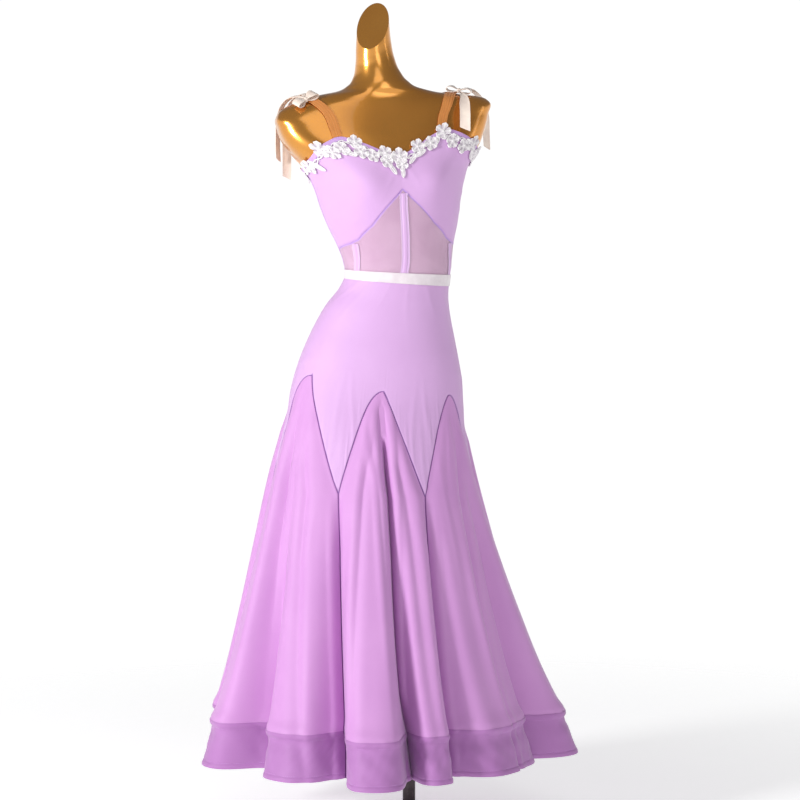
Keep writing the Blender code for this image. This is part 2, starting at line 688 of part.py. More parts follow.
def sheet_wall(name, points, normals, triangles, near, far, finish):
    """A wall between two offsets from a sheet of triangles."""
    shift = len(points)
    vertices = list(points + normals * near * MM) + list(points + normals * far * MM)
    faces = []
    edges = {}
    for triangle in triangles:
        faces.append(tuple(reversed(triangle)))
        faces.append(tuple(i + shift for i in triangle))
        for i in range(3):
            a = triangle[i]
            b = triangle[(i + 1) % 3]
            key = (min(a, b), max(a, b))
            edges[key] = edges.get(key, 0) + 1
    for (a, b), uses in edges.items():
        if uses == 1:
            faces.append((a, b, b + shift, a + shift))
    return solid(name, vertices, faces, finish)


STRAP_COLUMNS = ("side", "foot_x", "top_x")
STRAPS = [("left", -108.0, -148.0), ("right", 97.0, 154.0)]
STRAP_WIDTH = 19.0
STRAP_NEAR = 2.4
STRAP_THICK = 1.1


def top_level(x):
    """Level at which the shoulder is as wide as x."""
    levels = np.linspace(1400, 1445, 200)
    widths = smooth(levels, DRESS["level"], DRESS["half"])
    return np.interp(np.abs(x), widths[::-1], levels[::-1])


def shoulder_point(x, level, behind):
    """Point of the form's surface at its own x and a level, front or back."""
    row = section_row(DRESS, level)
    depth = np.where(behind, row["back"], -row["front"])
    part = np.clip(1 - np.abs(x / row["half"]) ** row["square"], 0, 1)
    return placed(row, x, depth * part ** (1 / row["square"]))


def strap_foot(x, behind):
    """Level at which the strap meets the neckline, a little above it."""
    level = np.where(behind, 1293.0, 1350.0) + 0 * x
    for _ in range(6):
        row = section_row(DRESS, level)
        part = np.clip(1 - np.abs(x / row["half"]) ** row["square"], 0, 1) ** (1 / row["square"])
        turn = np.degrees(np.arctan2(np.abs(x) / row["half"], part))
        level = neckline(np.where(behind, 180 - turn, turn)) + 0.5
    return level


def strap_surface(strap, along, across):
    """along runs 0 at the front neckline, 1 over the shoulder, 2 at the back."""
    behind = along > 1
    share = np.clip(np.where(behind, 2 - along, along), 0, 1)
    x = strap["foot_x"] + (strap["top_x"] - strap["foot_x"]) * share ** 1.4 + across
    foot = strap_foot(x, behind)
    level = foot + (top_level(x) - foot) * np.sin(share * math.pi / 2)
    return shoulder_point(x, level, behind)


def strap_face(strap, along, across):
    along, across = np.broadcast_arrays(np.asarray(along, dtype=float), np.asarray(across, dtype=float))
    points, normals = faced(lambda a, b: strap_surface(strap, b, a), across, along, 0.5, 0.01)
    return points, normals


def make_straps():
    """Elastic shoulder straps from the front neckline to the back."""
    for row in STRAPS:
        strap = dict(zip(STRAP_COLUMNS, row))
        along = np.concatenate((np.linspace(0.0, 0.88, 8), (0.96, 1.04), np.linspace(1.12, 2.0, 8)))
        across = np.linspace(-STRAP_WIDTH / 2, STRAP_WIDTH / 2, 3)
        points, normals = strap_face(strap, along[:, None], across[None, :])
        wall("strap_" + strap["side"], points, normals, STRAP_NEAR, STRAP_NEAR + STRAP_THICK, ELASTIC)


RIBBON = {"width": 22.0, "thick": 1.0}
LOOP_OUTLINE = [
    (3.0, 3.0), (7.0, 1.5), (13.0, 0.9), (19.0, 1.1), (23.0, 2.6), (24.5, 5.2), (23.0, 8.1), (19.0, 10.3),
    (13.0, 10.5), (7.0, 8.4), (3.0, 6.2)]
BOW_COLUMNS = ("side", "along", "across", "turn")
BOWS = [("left", 0.79, -12.0, -6.0), ("right", 0.84, 12.0, 8.0)]


def bow_frame(bow):
    """Middle of a bow on its strap, with its sideways, upward and outward axes."""
    strap = next(dict(zip(STRAP_COLUMNS, row)) for row in STRAPS if row[0] == bow["side"])
    middle, normal = strap_face(strap, bow["along"], bow["across"])
    up = strap_surface(strap, np.float64(bow["along"] + 0.01), np.float64(bow["across"])) - middle
    up = up / np.linalg.norm(up)
    side = np.cross(up, normal)
    turn = math.radians(bow["turn"])
    sideways = side * math.cos(turn) + up * math.sin(turn)
    upward = up * math.cos(turn) - side * math.sin(turn)
    return middle + normal * (STRAP_NEAR + STRAP_THICK) * MM, sideways, upward, normal


def ribbon_wall(name, centres, width_axis, half_widths, closed=False):
    """A ribbon of even thickness from its centre line and the way its width runs."""
    centres = np.array(centres)
    width_axis = np.broadcast_to(np.array(width_axis), centres.shape)
    if closed:
        along = np.roll(centres, -1, axis=0) - np.roll(centres, 1, axis=0)
    else:
        along = np.gradient(centres, axis=0)
    normals = np.cross(along, width_axis)
    normals = normals / np.linalg.norm(normals, axis=1, keepdims=True)
    half = np.broadcast_to(np.array(half_widths, dtype=float), (len(centres),))[:, None] * MM
    grid = np.stack((centres - width_axis * half, centres, centres + width_axis * half))
    faces = np.broadcast_to(normals, grid.shape)
    wall(name, grid, faces, -RIBBON["thick"] / 2, RIBBON["thick"] / 2, SATIN, ring=closed)


# Tails of the bows: each leaves its knot at the back (1) or the front (-1),
# then follows its own spots, in millimetres in the dress's place.
TAIL_COLUMNS = ("name", "side", "leaves", "lift", "half_width", "width_turn")
TAILS = [
    ("bow_left_tail_a", "left", 1, 2.6, 8.5, 0.0),
    ("bow_left_tail_b", "left", 1, 7.4, 8.5, 50.0),
    ("bow_right_tail_a", "right", -1, 4.8, 10.0, -8.0),
    ("bow_right_tail_b", "right", 1, 4.8, 8.5, 30.0),
]
TAIL_SPOTS = {
    "bow_left_tail_a": [
        (-206, -2, 1428), (-213, 28, 1422), (-220, 54, 1409), (-225, 74, 1385), (-226, 80, 1350),
        (-226, 81, 1310), (-226, 81, 1267)],
    "bow_left_tail_b": [
        (-224, -2, 1424), (-235, 22, 1417), (-243, 44, 1402), (-247, 58, 1378), (-247, 64, 1350),
        (-247, 65, 1325), (-246, 65, 1302)],
    "bow_right_tail_a": [
        (100, -38, 1424), (98, -52, 1410), (96.5, -62, 1394), (95.5, -67, 1378), (95, -69, 1361)],
    "bow_right_tail_b": [
        (118, 12, 1441), (140, 40, 1434), (160, 64, 1417), (171, 79, 1392), (174, 84, 1352),
        (175, 84, 1326)],
}


def make_bows():
    """A ribbon bow on each strap: two loops, a knot and tails."""
    for row in BOWS:
        bow = dict(zip(BOW_COLUMNS, row))
        middle, sideways, upward, outward = bow_frame(bow)
        for label, way in (("a", -1.0), ("b", 1.0)):
            outline = [middle + (sideways * way * r + outward * n) * MM for r, n in LOOP_OUTLINE]
            half = [3.5 + 7.5 * min(1.0, max(0.0, (r - 3) / 9)) for r, _ in LOOP_OUTLINE]
            ribbon_wall(f"bow_{bow['side']}_loop_{label}", outline, upward, half, closed=True)
        knot = [(-2.2, 0.4), (2.2, 0.4), (2.6, 4.8), (2.2, 8.8), (-2.2, 8.8), (-2.6, 4.8)]
        ends = [
            [middle + (sideways * r + outward * n + upward * u) * MM for r, n in knot] for u in (-4.5, 4.5)]
        faces = [(i, (i + 1) % 6, 6 + (i + 1) % 6, 6 + i) for i in range(6)]
        faces += [tuple(range(5, -1, -1)), tuple(range(6, 12))]
        solid(f"bow_{bow['side']}_knot", ends[0] + ends[1], faces, SATIN)
    for row in TAILS:
        tail = dict(zip(TAIL_COLUMNS, row))
        bow = next(dict(zip(BOW_COLUMNS, spot)) for spot in BOWS if spot[0] == tail["side"])
        middle, sideways, upward, outward = bow_frame(bow)
        start = middle + (upward * tail["leaves"] * 5.0 + outward * tail["lift"]) * MM
        spots = np.array([tuple(start / MM)] + TAIL_SPOTS[tail["name"]]) * MM
        turn = math.radians(tail["width_turn"])
        hung = np.array((math.cos(turn), math.sin(turn), 0.0))
        share = np.clip(np.arange(len(spots)) / 2, 0, 1)[:, None]
        axis = sideways * (1 - share) + hung * share
        axis = axis / np.linalg.norm(axis, axis=1, keepdims=True)
        half = [1.8, tail["half_width"] * 0.7] + [tail["half_width"]] * (len(spots) - 2)
        ribbon_wall(tail["name"], spots, axis, half)


make_form()
make_stand()
make_bodice()
make_strips()
make_waist_ribbon()
make_yoke()
make_skirt()
make_lace("lace_front", -SIDE_SEAM, SIDE_SEAM, False)
make_lace("lace_back", SIDE_SEAM, 360 - SIDE_SEAM, True)
make_straps()
make_bows()
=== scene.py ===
"""Looks of the ballroom dance dress and its dress form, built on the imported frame.

Metres, +Z up. The tables and body functions repeat the cut of the CAD pieces,
and every piece here is a finer wall of the same cloth in the same place.
"""

import json
import math

import bpy
import numpy as np
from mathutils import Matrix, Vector

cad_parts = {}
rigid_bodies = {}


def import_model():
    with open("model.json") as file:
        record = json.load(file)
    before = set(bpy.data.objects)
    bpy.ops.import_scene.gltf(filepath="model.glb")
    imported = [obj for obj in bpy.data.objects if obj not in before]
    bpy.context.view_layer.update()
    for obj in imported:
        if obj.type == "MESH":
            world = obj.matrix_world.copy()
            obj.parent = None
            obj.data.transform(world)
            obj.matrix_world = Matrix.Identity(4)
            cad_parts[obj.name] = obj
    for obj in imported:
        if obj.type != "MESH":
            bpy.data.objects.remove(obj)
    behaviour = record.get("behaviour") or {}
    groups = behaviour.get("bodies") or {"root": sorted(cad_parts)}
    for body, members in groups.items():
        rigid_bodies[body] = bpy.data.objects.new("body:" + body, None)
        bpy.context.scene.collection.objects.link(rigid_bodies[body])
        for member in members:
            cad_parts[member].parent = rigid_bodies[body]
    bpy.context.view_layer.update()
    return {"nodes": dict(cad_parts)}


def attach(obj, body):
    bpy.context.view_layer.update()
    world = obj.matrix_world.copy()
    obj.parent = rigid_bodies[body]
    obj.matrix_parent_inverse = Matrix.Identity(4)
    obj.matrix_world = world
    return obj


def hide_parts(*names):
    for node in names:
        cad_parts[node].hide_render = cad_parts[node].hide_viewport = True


for old in list(bpy.data.objects):
    bpy.data.objects.remove(old)

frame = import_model()

MM = 0.001
SWAY_TURN = 12.0

# Sections of the body under the cloth: millimetres and degrees.
# level is the height at the section's middle, side its shift along the sway
# direction, square the superellipse power, tilt lifts the +X side and pitch
# drops the front.
SECTION_COLUMNS = (
    "level", "side", "half", "front", "back", "square", "twist", "tilt", "pitch")
UPPER_BODY = [
    (1072, -23.5, 98, 77, 82, 2.1, -3, -3.8, 0),
    (1100, -23, 102, 79, 80, 2.1, 0, -2.6, 0),
    (1140, -27, 111, 85, 80, 2.1, 2, 0.3, 0),
    (1180, -32, 124, 96, 82, 2.2, 2, 1.9, 0),
    (1220, -37, 134, 104, 86, 2.3, 2, 2.8, 0),
    (1255, -39, 143, 106, 91, 2.3, 2, 3.3, 0),
    (1285, -41, 155, 102, 94, 2.4, 2, 3.8, 0),
    (1315, -43, 178, 92, 92, 2.7, 2, 4.0, 0),
    (1345, -48, 196, 79, 86, 3.0, 2, 4.2, 0),
    (1375, -50, 207, 65, 76, 3.0, 2, 4.3, 0),
    (1400, -50, 210, 54, 66, 2.8, 2, 4.4, 0),
    (1412, -54, 195, 50, 62, 2.5, 2, 4.0, 0),
    (1422, -60, 158, 48, 60, 2.2, 2, 3.0, 0),
    (1431, -62, 112, 47, 59, 2.1, 0, 2.0, 0),
    (1438, -61, 80, 47, 58, 2.0, -4, 3.0, 0),
    (1450, -61, 58, 45, 54, 2.0, -8, 5.0, 0),
    (1466, -63, 46, 41, 48, 2.0, -12, 8.0, 5),
    (1492, -66, 38, 36, 40, 2.0, -16, 8.0, 16),
    (1524, -69, 34, 34, 36, 2.0, -20, 6.0, 38),
    (1560, -70, 31, 33, 33, 2.0, -24, 4.0, 54),
]
FORM_HIPS = [
    (758, -66, 112, 76, 82, 2.1, -6, 0.0, 0),
    (768, -66, 137, 90, 98, 2.1, -6, -2.4, 0),
    (784, -65, 151, 95, 107, 2.1, -6, -4.2, 0),
    (814, -64, 157, 97, 111, 2.2, -6, -4.5, 0),
    (850, -62, 158, 98, 115, 2.2, -6, -5.3, 0),
    (890, -57, 154, 96, 118, 2.2, -6, -5.3, 0),
    (930, -53, 143, 94, 117, 2.2, -6, -5.1, 0),
    (970, -48, 131, 90, 112, 2.1, -6, -4.9, 0),
    (1010, -41, 116.5, 85.5, 102.5, 2.1, -6, -4.7, 0),
    (1045, -30, 102.5, 80.5, 89.5, 2.1, -5, -4.5, 0),
]
SKIRT_BASE = [
    (110, -44, 258, 256, 262, 2.0, -6, 0, 0),
    (139, -45, 254, 252, 258, 2.0, -6, 0, 0),
    (228, -50, 243, 240, 246, 2.0, -6, 0, 0),
    (320, -56, 231, 224, 232, 2.0, -6, 0, 0),
    (440, -62, 219, 204, 216, 2.0, -6, 0, 0),
    (560, -66, 209, 186, 198, 2.0, -6, -1.1, 0),
    (680, -69, 193, 160, 174, 2.0, -6, -2.0, 0),
    (760, -66, 177, 134, 150, 2.1, -6, -3.5, 0),
    (800, -64.5, 169, 119, 136, 2.2, -6, -4.4, 0),
    (840, -62.5, 165, 107, 125, 2.2, -6, -5.2, 0),
    (890, -57, 157, 99, 122, 2.2, -6, -5.3, 0),
    (930, -53, 146, 96, 120, 2.2, -6, -5.1, 0),
    (970, -48, 133, 92, 114, 2.1, -6, -4.9, 0),
    (1010, -41, 118, 87, 104, 2.1, -6, -4.7, 0),
    (1045, -30, 103, 81, 90, 2.1, -5, -4.5, 0),
]
CUP = {"turn": 27.0, "turn_spread": 15.0, "level": 1262.0, "level_spread": 36.0, "rise": 11.0}

# Edges of the bodice: turn in degrees from the front, level in millimetres.
NECKLINE = [
    (0, 1310), (6, 1315.5), (12.5, 1326), (20, 1341), (29, 1352.5), (36, 1346),
    (42, 1338), (54, 1321), (70, 1309), (93, 1300), (120, 1296), (150, 1293), (180, 1292)]
UNDERBUST = [
    (0, 1247), (6, 1232), (15, 1212), (28, 1181), (47, 1152), (58, 1144.5), (93, 1131)]
WAIST = 1076.0
RIBBON_WIDTH = 21.0
SIDE_SEAM = 93.0

# Godets: the yoke's points lie between them. bend is the power of the seam
# curve on each side of the apex, and hem_turn where the seam ends at the hem.
GODET_COLUMNS = ("apex_turn", "apex_level", "left_bend", "right_bend")
GODETS = [
    (-154.3, 866, 0.7, 0.7),
    (-109.0, 880, 0.7, 0.5),
    (-54.0, 876, 0.42, 1.0),
    (0.0, 860, 0.5, 0.8),
    (50.0, 862, 0.7, 0.5),
    (103.0, 872, 0.5, 0.7),
    (154.3, 866, 0.7, 0.7),
]
POINT_COLUMNS = ("turn", "level", "hem_turn")
YOKE_POINTS = [
    (-180.0, 676, -180.0),
    (-128.6, 676, -134.0),
    (-90.0, 676, -100.0),
    (-24.5, 667, -23.4),
    (25.2, 664, 22.5),
    (77.0, 672, 102.0),
    (128.6, 676, 138.0),
    (180.0, 676, 180.0),
]
BAND_LEVEL = 228.0
HEM_LEVEL = 139.0

# Ridges of the hanging folds: place and width run from 0 to 1 across the
# godet, height and overhang are millimetres at the hem, start is the level
# where the fold begins.
FOLD_COLUMNS = ("godet", "place", "width", "height", "overhang", "start")
FOLDS = [
    (0, 0.27, 0.26, 96, 16, 780), (0, 0.76, 0.23, 88, 14, 780),
    (1, 0.26, 0.25, 100, 18, 790), (1, 0.75, 0.24, 104, 16, 790),
    (2, 0.30, 0.19, 112, 18, 830), (2, 0.745, 0.255, 76, 20, 830),
    (3, 0.31, 0.30, 112, 24, 830), (3, 0.80, 0.19, 66, 10, 830),
    (4, 0.24, 0.23, 52, 6, 820), (4, 0.50, 0.25, 44, 4, 800), (4, 0.80, 0.20, 118, 12, 800),
    (5, 0.24, 0.23, 94, 16, 790), (5, 0.74, 0.25, 102, 18, 790),
    (6, 0.28, 0.27, 92, 16, 780), (6, 0.77, 0.22, 98, 14, 780),
]
# Narrower hollows and crests that the cloth takes between those ridges: depth
# and width in millimetres, crests with a negative depth, the level where each
# begins, and its path as pairs of level and place across the godet.
FLUTE_COLUMNS = ("godet", "depth", "width", "lip", "start", "path")
FLUTES = [
    (3, 26, 6.0, 0.22, 834,
     [(840, 0.58), (560, 0.565), (390, 0.55), (300, 0.55), (228, 0.61), (139, 0.64)]),
    (3, -4, 6, 0.0, 822,
     [(822, 0.10), (760, 0.27), (700, 0.41), (477, 0.42), (300, 0.42), (139, 0.42)]),
    (3, 5, 8, 0.2, 780, [(780, 0.70), (700, 0.76), (477, 0.79), (300, 0.80), (139, 0.82)]),
    (3, 3, 5, 0.3, 800, [(800, 0.40), (700, 0.30), (560, 0.26), (139, 0.20)]),
    (2, 10, 8, 0.3, 800, [(800, 0.42), (560, 0.41), (139, 0.41)]),
    (2, 5, 7, 0.3, 780, [(780, 0.70), (600, 0.72), (300, 0.78), (139, 0.82)]),
    (4, 5, 7, 0.3, 812, [(812, 0.60), (700, 0.52), (477, 0.42), (139, 0.37)]),
    (4, 6, 9, 0.2, 700, [(700, 0.70), (477, 0.66), (139, 0.64)]),
    (1, 9, 8, 0.3, 800, [(800, 0.50), (139, 0.50)]),
    (5, 9, 8, 0.3, 800, [(800, 0.50), (139, 0.49)]),
    (0, 9, 8, 0.3, 800, [(800, 0.50), (139, 0.52)]),
    (6, 9, 8, 0.3, 800, [(800, 0.48), (139, 0.53)]),
]
# How deep the hollow along each long seam is, from one yoke point to the next.
SEAM_HOLLOWS = [5.0, 5.0, 6.0, 11.0, 9.0, 6.0, 5.0, 5.0]
SEAM_HOLLOW_WIDTH = 6.0
# How far the skirt springs out at the hem bands' seams, tucks in under them
# and spreads again at its foot, and how far above and below the spring dies.
FLARE = {"out": 6.5, "tuck": 3.0, "foot": 3.0, "above": 16.0, "below": 7.0}
# Above this level the form lies behind the skirt, so no hollow goes in there.
SEATED_LEVEL = 756
FOLD_GROWTH = [
    (110, 1.03), (139, 1.0), (228, 0.88), (320, 0.68), (440, 0.45), (560, 0.24), (680, 0.10),
    (780, 0.045), (860, 0.02)]

# Offsets from the dress's own surface, in millimetres.
NEAR = 1.7
FAR = NEAR + 1.5
SKIRT_FAR = NEAR + 1.8
BINDING_NEAR = FAR + 0.35
BINDING_WIDTH = 9.0
BINDING_ROWS = (2.0, 4.6, 7.0)
BINDING_STEPS = 24
LACE_NEAR = BINDING_NEAR + 0.9 + 0.8
TAPE_NEAR = FAR + 0.9
RIBBON_NEAR = SKIRT_FAR + 1.2
FAR_FROM_SEAM = 50.0
# Distance between the cords of the elastic straps.
STRAP_CORD = 4.75
SHARP_ANGLE = 58


def records(rows, columns):
    """A table's rows as dictionaries."""
    return [dict(zip(columns, row)) for row in rows]


def paired(first, second):
    """Two values or arrays as float arrays of one shape."""
    return np.broadcast_arrays(np.asarray(first, dtype=float), np.asarray(second, dtype=float))


def bell(value, middle, width):
    """A bump of height 1 round the middle, nearly gone two widths away."""
    return np.exp(-((value - middle) / width) ** 2)


def lifted(points, normals, height):
    """Points moved off their surface by a height in millimetres."""
    return points + normals * height * MM


def table(rows, columns):
    """A table of rows as a dictionary of column arrays."""
    values = np.array(rows, dtype=float)
    return {name: values[:, i] for i, name in enumerate(columns)}


def smooth(where, places, values):
    """Cubic curve through the values, with slopes taken from the neighbours."""
    slopes = np.gradient(values, places)
    where = np.clip(where, places[0], places[-1])
    i = np.clip(np.searchsorted(places, where, side="right") - 1, 0, len(places) - 2)
    span = places[i + 1] - places[i]
    t = (where - places[i]) / span
    rise = t * t * (3 - 2 * t)
    into = t * (1 - t) ** 2
    out = t * t * (1 - t)
    body = values[i] * (1 - rise) + values[i + 1] * rise
    return body + span * (slopes[i] * into - slopes[i + 1] * out)


FORM = table(FORM_HIPS + UPPER_BODY, SECTION_COLUMNS)
DRESS = table(SKIRT_BASE + UPPER_BODY, SECTION_COLUMNS)
GODET = table(GODETS, GODET_COLUMNS)
POINT = table(YOKE_POINTS, POINT_COLUMNS)
NECK_EDGE = table(NECKLINE, ("turn", "level"))
BUST_EDGE = table(UNDERBUST, ("turn", "level"))
GROWTH = table(FOLD_GROWTH, ("level", "part"))


def from_front(turn):
    """How far a turn is from the front, either way."""
    return np.abs((np.asarray(turn, dtype=float) + 180) % 360 - 180)


def neckline(turn):
    """Level of the bodice's top edge."""
    return smooth(from_front(turn), NECK_EDGE["turn"], NECK_EDGE["level"])


def underbust(turn):
    """Level of the seam between the bodice and the mesh."""
    return np.interp(from_front(turn), BUST_EDGE["turn"], BUST_EDGE["level"])


def placed(row, x, y):
    """Put a section's own x and y, in millimetres, in the dress's place."""
    tilt, pitch, twist = (np.radians(row[name]) for name in ("tilt", "pitch", "twist"))
    sway = math.radians(SWAY_TURN)
    return np.stack((
        x * np.cos(twist) - y * np.sin(twist) + row["side"] * math.cos(sway),
        x * np.sin(twist) + y * np.cos(twist) - row["side"] * math.sin(sway),
        row["level"] + x * np.tan(tilt) + y * np.tan(pitch)), axis=-1) * MM


def section_row(sections, level):
    """A section's values at any level."""
    row = {name: smooth(level, sections["level"], values) for name, values in sections.items()}
    row["level"] = level
    return row


def section_place(row, turn):
    """A section's own x and y at a turn, the turn's sine and cosine, and the depth there."""
    angle = np.radians(turn)
    side = np.sin(angle)
    ahead = np.cos(angle)
    power = row["square"]
    swell = (np.abs(side) ** power + np.abs(ahead) ** power) ** (-1 / power)
    depth = np.where(ahead > 0, row["front"], row["back"])
    return row["half"] * swell * side, -depth * swell * ahead, side, ahead, depth


def body_point(sections, turn, level):
    """A point of the body's surface at a turn from the front and a level."""
    turn, level = paired(turn, level)
    row = section_row(sections, level)
    x, y, _, _, _ = section_place(row, turn)
    crown = bell(from_front(turn), CUP["turn"], CUP["turn_spread"])
    crown = crown * bell(level, CUP["level"], CUP["level_spread"])
    return placed(row, x, y - CUP["rise"] * crown)


def seam_turn(point, level):
    """Turn of the seam that runs down from a yoke point to the hem."""
    down = np.clip((POINT["level"][point] - level) / (POINT["level"][point] - HEM_LEVEL), 0, 1.1)
    return POINT["turn"][point] + (POINT["hem_turn"][point] - POINT["turn"][point]) * down ** 1.3


def godet_edge(godet, right, level):
    """Turn of a godet's left or right seam at a level below its apex."""
    point = godet + 1 if right else godet
    bend = GODET["right_bend" if right else "left_bend"][godet]
    apex = GODET["apex_turn"][godet]
    top = GODET["apex_level"][godet]
    low = POINT["level"][point]
    fall = np.clip((top - level) / (top - low), 0, 1)
    arch = apex + (POINT["turn"][point] - apex) * fall ** bend
    return np.where(level < low, seam_turn(point, level), arch)


def godet_spot(godet, across, level):
    """Turn at a place across the godet, and how far the folds stand out and lean there."""
    left = godet_edge(godet, False, level)
    right = godet_edge(godet, True, level)
    turn = left + (right - left) * across
    part = smooth(level, GROWTH["level"], GROWTH["part"])
    out = np.zeros_like(turn)
    lean = np.zeros_like(turn)
    firm = 1.15 + 0.75 * np.clip((level - 150) / 260, 0, 1)
    for fold in records(FOLDS, FOLD_COLUMNS):
        if fold["godet"] != godet:
            continue
        begin = part * np.clip((fold["start"] + 24 - level) / 50, 0, 1)
        t = math.pi * np.clip((across - fold["place"]) / fold["width"], -1, 1)
        crest = 0.5 + 0.5 * np.cos(t)
        out = out + begin * fold["height"] * (1 - (1 - crest) ** firm)
        lean = lean + begin * fold["overhang"] * np.sin(t) * crest
    row = section_row(DRESS, level)
    wide = np.radians(right - left) * (row["half"] + row["front"]) / 2
    for flute in records(FLUTES, FLUTE_COLUMNS):
        if flute["godet"] != godet:
            continue
        path = np.array(flute["path"][::-1], dtype=float)
        away = (across - np.interp(level, path[:, 0], path[:, 1])) * wide / flute["width"]
        grown = np.clip((flute["start"] - level) / 130, 0, 1) ** 0.8
        lip = flute["lip"] * bell(np.abs(away), 2.1, 1.1)
        out = out - flute["depth"] * grown * (bell(away, 0, 1) - lip)
    for point, away in ((godet, across * wide), (godet + 1, (1 - across) * wide)):
        away = away / SEAM_HOLLOW_WIDTH
        grown = np.clip((POINT["level"][point] - level) / 110, 0, 1) ** 0.8
        out = out - SEAM_HOLLOWS[point] * grown * (bell(away, 0, 1) - 0.3 * bell(away, 2.2, 1.1))
    seat = level - BAND_LEVEL
    flare = FLARE["out"] * bell(seat, 0, np.where(seat > 0, FLARE["above"], FLARE["below"]))
    flare = flare - FLARE["tuck"] * bell(seat, -24, 14)
    flare = flare + FLARE["foot"] * np.clip(-(seat + 55) / 34, 0, 1) ** 1.5
    form_side = np.clip((level - SEATED_LEVEL) / 20, 0, 1)
    seated = np.maximum(out, 0) * form_side + out * (1 - form_side)
    return turn, np.where(level > SEATED_LEVEL, seated, out) + flare, lean


def godet_point(godet, across, level):
    """A point of a godet's inner face."""
    across, level = paired(across, level)
    turn, out, lean = godet_spot(godet, across, level)
    row = section_row(DRESS, level)
    x, y, side, ahead, depth = section_place(row, turn)
    reach = np.hypot(row["half"] * side, depth * ahead)
    x_out = row["half"] * side / reach
    y_out = -depth * ahead / reach
    return placed(row, x + out * x_out - lean * y_out, y + out * y_out + lean * x_out)


def faced(surface, first, second, step_first, step_second):
    """Points of a surface and its outward normals, by small steps either way."""
    points = surface(first, second)
    along = surface(first + step_first, second) - surface(first - step_first, second)
    up = surface(first, second + step_second) - surface(first, second - step_second)
    return points, unit(np.cross(along, up))


def degree_length(turn, level):
    """Millimetres round the dress that one degree takes at a turn and a level."""
    step = body_point(DRESS, turn + 1, level) - body_point(DRESS, turn, level)
    return np.linalg.norm(step, axis=-1) / MM


def dress_face(turn, level):
    """Points and normals of the dress's own surface above the godets."""
    turn, level = paired(turn, level)
    return faced(lambda a, b: body_point(DRESS, a, b), turn, level, 1.0, 1.5)


def godet_face(godet, across, level):
    """Godet points with normals that agree with the next godet's along the seam."""
    across, level = paired(across, level)
    points, normals = faced(lambda a, b: godet_point(godet, a, b), across, level, 0.012, 1.5)
    turn, _, _ = godet_spot(godet, across, level)
    _, plain = dress_face(turn, level)
    edge = np.clip(np.minimum(across, 1 - across) / 0.10, 0, 1)[..., None]
    return points, unit(plain * (1 - edge) + normals * edge)


# Soft creases: turn and level of the middle, lean from upright towards +X in
# degrees, then half length, half width and height in millimetres.
CREASE_COLUMNS = ("turn", "level", "lean", "length", "width", "height")
BODICE_CREASES = [
    (-70, 1215, 72, 34, 6, 0.9), (-66, 1190, 66, 36, 6, 0.8), (-74, 1245, 80, 28, 6, 0.7),
    (68, 1205, -70, 36, 6, 0.9), (74, 1232, -78, 30, 6, 0.7), (-8, 1268, 30, 26, 5, 0.7),
    (9, 1272, -28, 24, 5, 0.6), (48, 1180, -58, 30, 6, 0.6), (-46, 1186, 60, 30, 6, 0.6),
    (100, 1200, -84, 40, 7, 0.8), (140, 1150, 70, 40, 8, 0.8), (-130, 1160, -70, 40, 8, 0.8),
]
MIDRIFF_CREASES = [
    (-30, 1120, 64, 36, 6, 0.6), (-24, 1098, 80, 30, 5, 0.5), (28, 1112, -62, 36, 6, 0.6),
    (34, 1092, -80, 30, 5, 0.5), (-72, 1098, 78, 30, 5, 0.7), (78, 1100, -76, 30, 6, 0.7),
    (12, 1150, -40, 26, 5, 0.4), (-12, 1146, 38, 26, 5, 0.4),
]
YOKE_CREASES = [
    (-62, 1040, 40, 46, 6, 0.9), (-40, 1036, 18, 40, 6, 0.8), (-14, 1038, 6, 36, 5, 0.6),
    (10, 1036, -10, 40, 5, 0.7), (36, 1040, -24, 42, 6, 0.9), (62, 1036, -42, 40, 6, 0.9),
    (-30, 800, 4, 70, 4.5, 1.2), (-19, 812, -6, 66, 4.5, 1.0), (-25, 742, 0, 54, 4.0, 0.9),
    (20, 806, 4, 64, 4.5, 1.1), (30, 812, -5, 66, 4.5, 1.1), (25, 742, 0, 52, 4.0, 0.9),
    (-78, 790, 3, 66, 5, 1.1), (78, 790, -3, 66, 5, 1.1), (-70, 905, 78, 40, 8, 0.8),
    (68, 900, -76, 40, 8, 0.8), (-124, 790, 3, 60, 5, 1.0), (-133, 800, -3, 60, 5, 1.0),
    (124, 790, 3, 60, 5, 1.0), (133, 800, -3, 60, 5, 1.0), (176, 800, 2, 60, 5, 1.0),
    (160, 1030, 20, 50, 7, 0.8), (-150, 1034, -20, 50, 7, 0.8), (120, 1020, 60, 46, 7, 0.8),
]
GODET_CREASES = [
    (-6, 790, 4, 60, 5, 1.4), (7, 770, -3, 70, 5, 1.3), (-12, 700, 3, 90, 7, 1.6),
    (14, 690, -5, 90, 6, 1.4), (-48, 790, 10, 60, 6, 1.3), (-60, 770, -4, 70, 6, 1.4),
    (46, 780, 6, 70, 6, 1.2), (56, 760, -6, 80, 6, 1.4), (-40, 560, 8, 110, 8, 1.5),
    (38, 600, -2, 120, 7, 1.6), (66, 540, -4, 120, 8, 1.6), (-16, 470, 5, 110, 9, 1.4),
    (6, 430, -3, 120, 9, 1.4), (-70, 470, 2, 120, 9, 1.4), (104, 700, 0, 90, 8, 1.4),
    (-104, 700, 0, 90, 8, 1.4), (154, 690, 0, 90, 8, 1.4), (-154, 690, 0, 90, 8, 1.4),
]


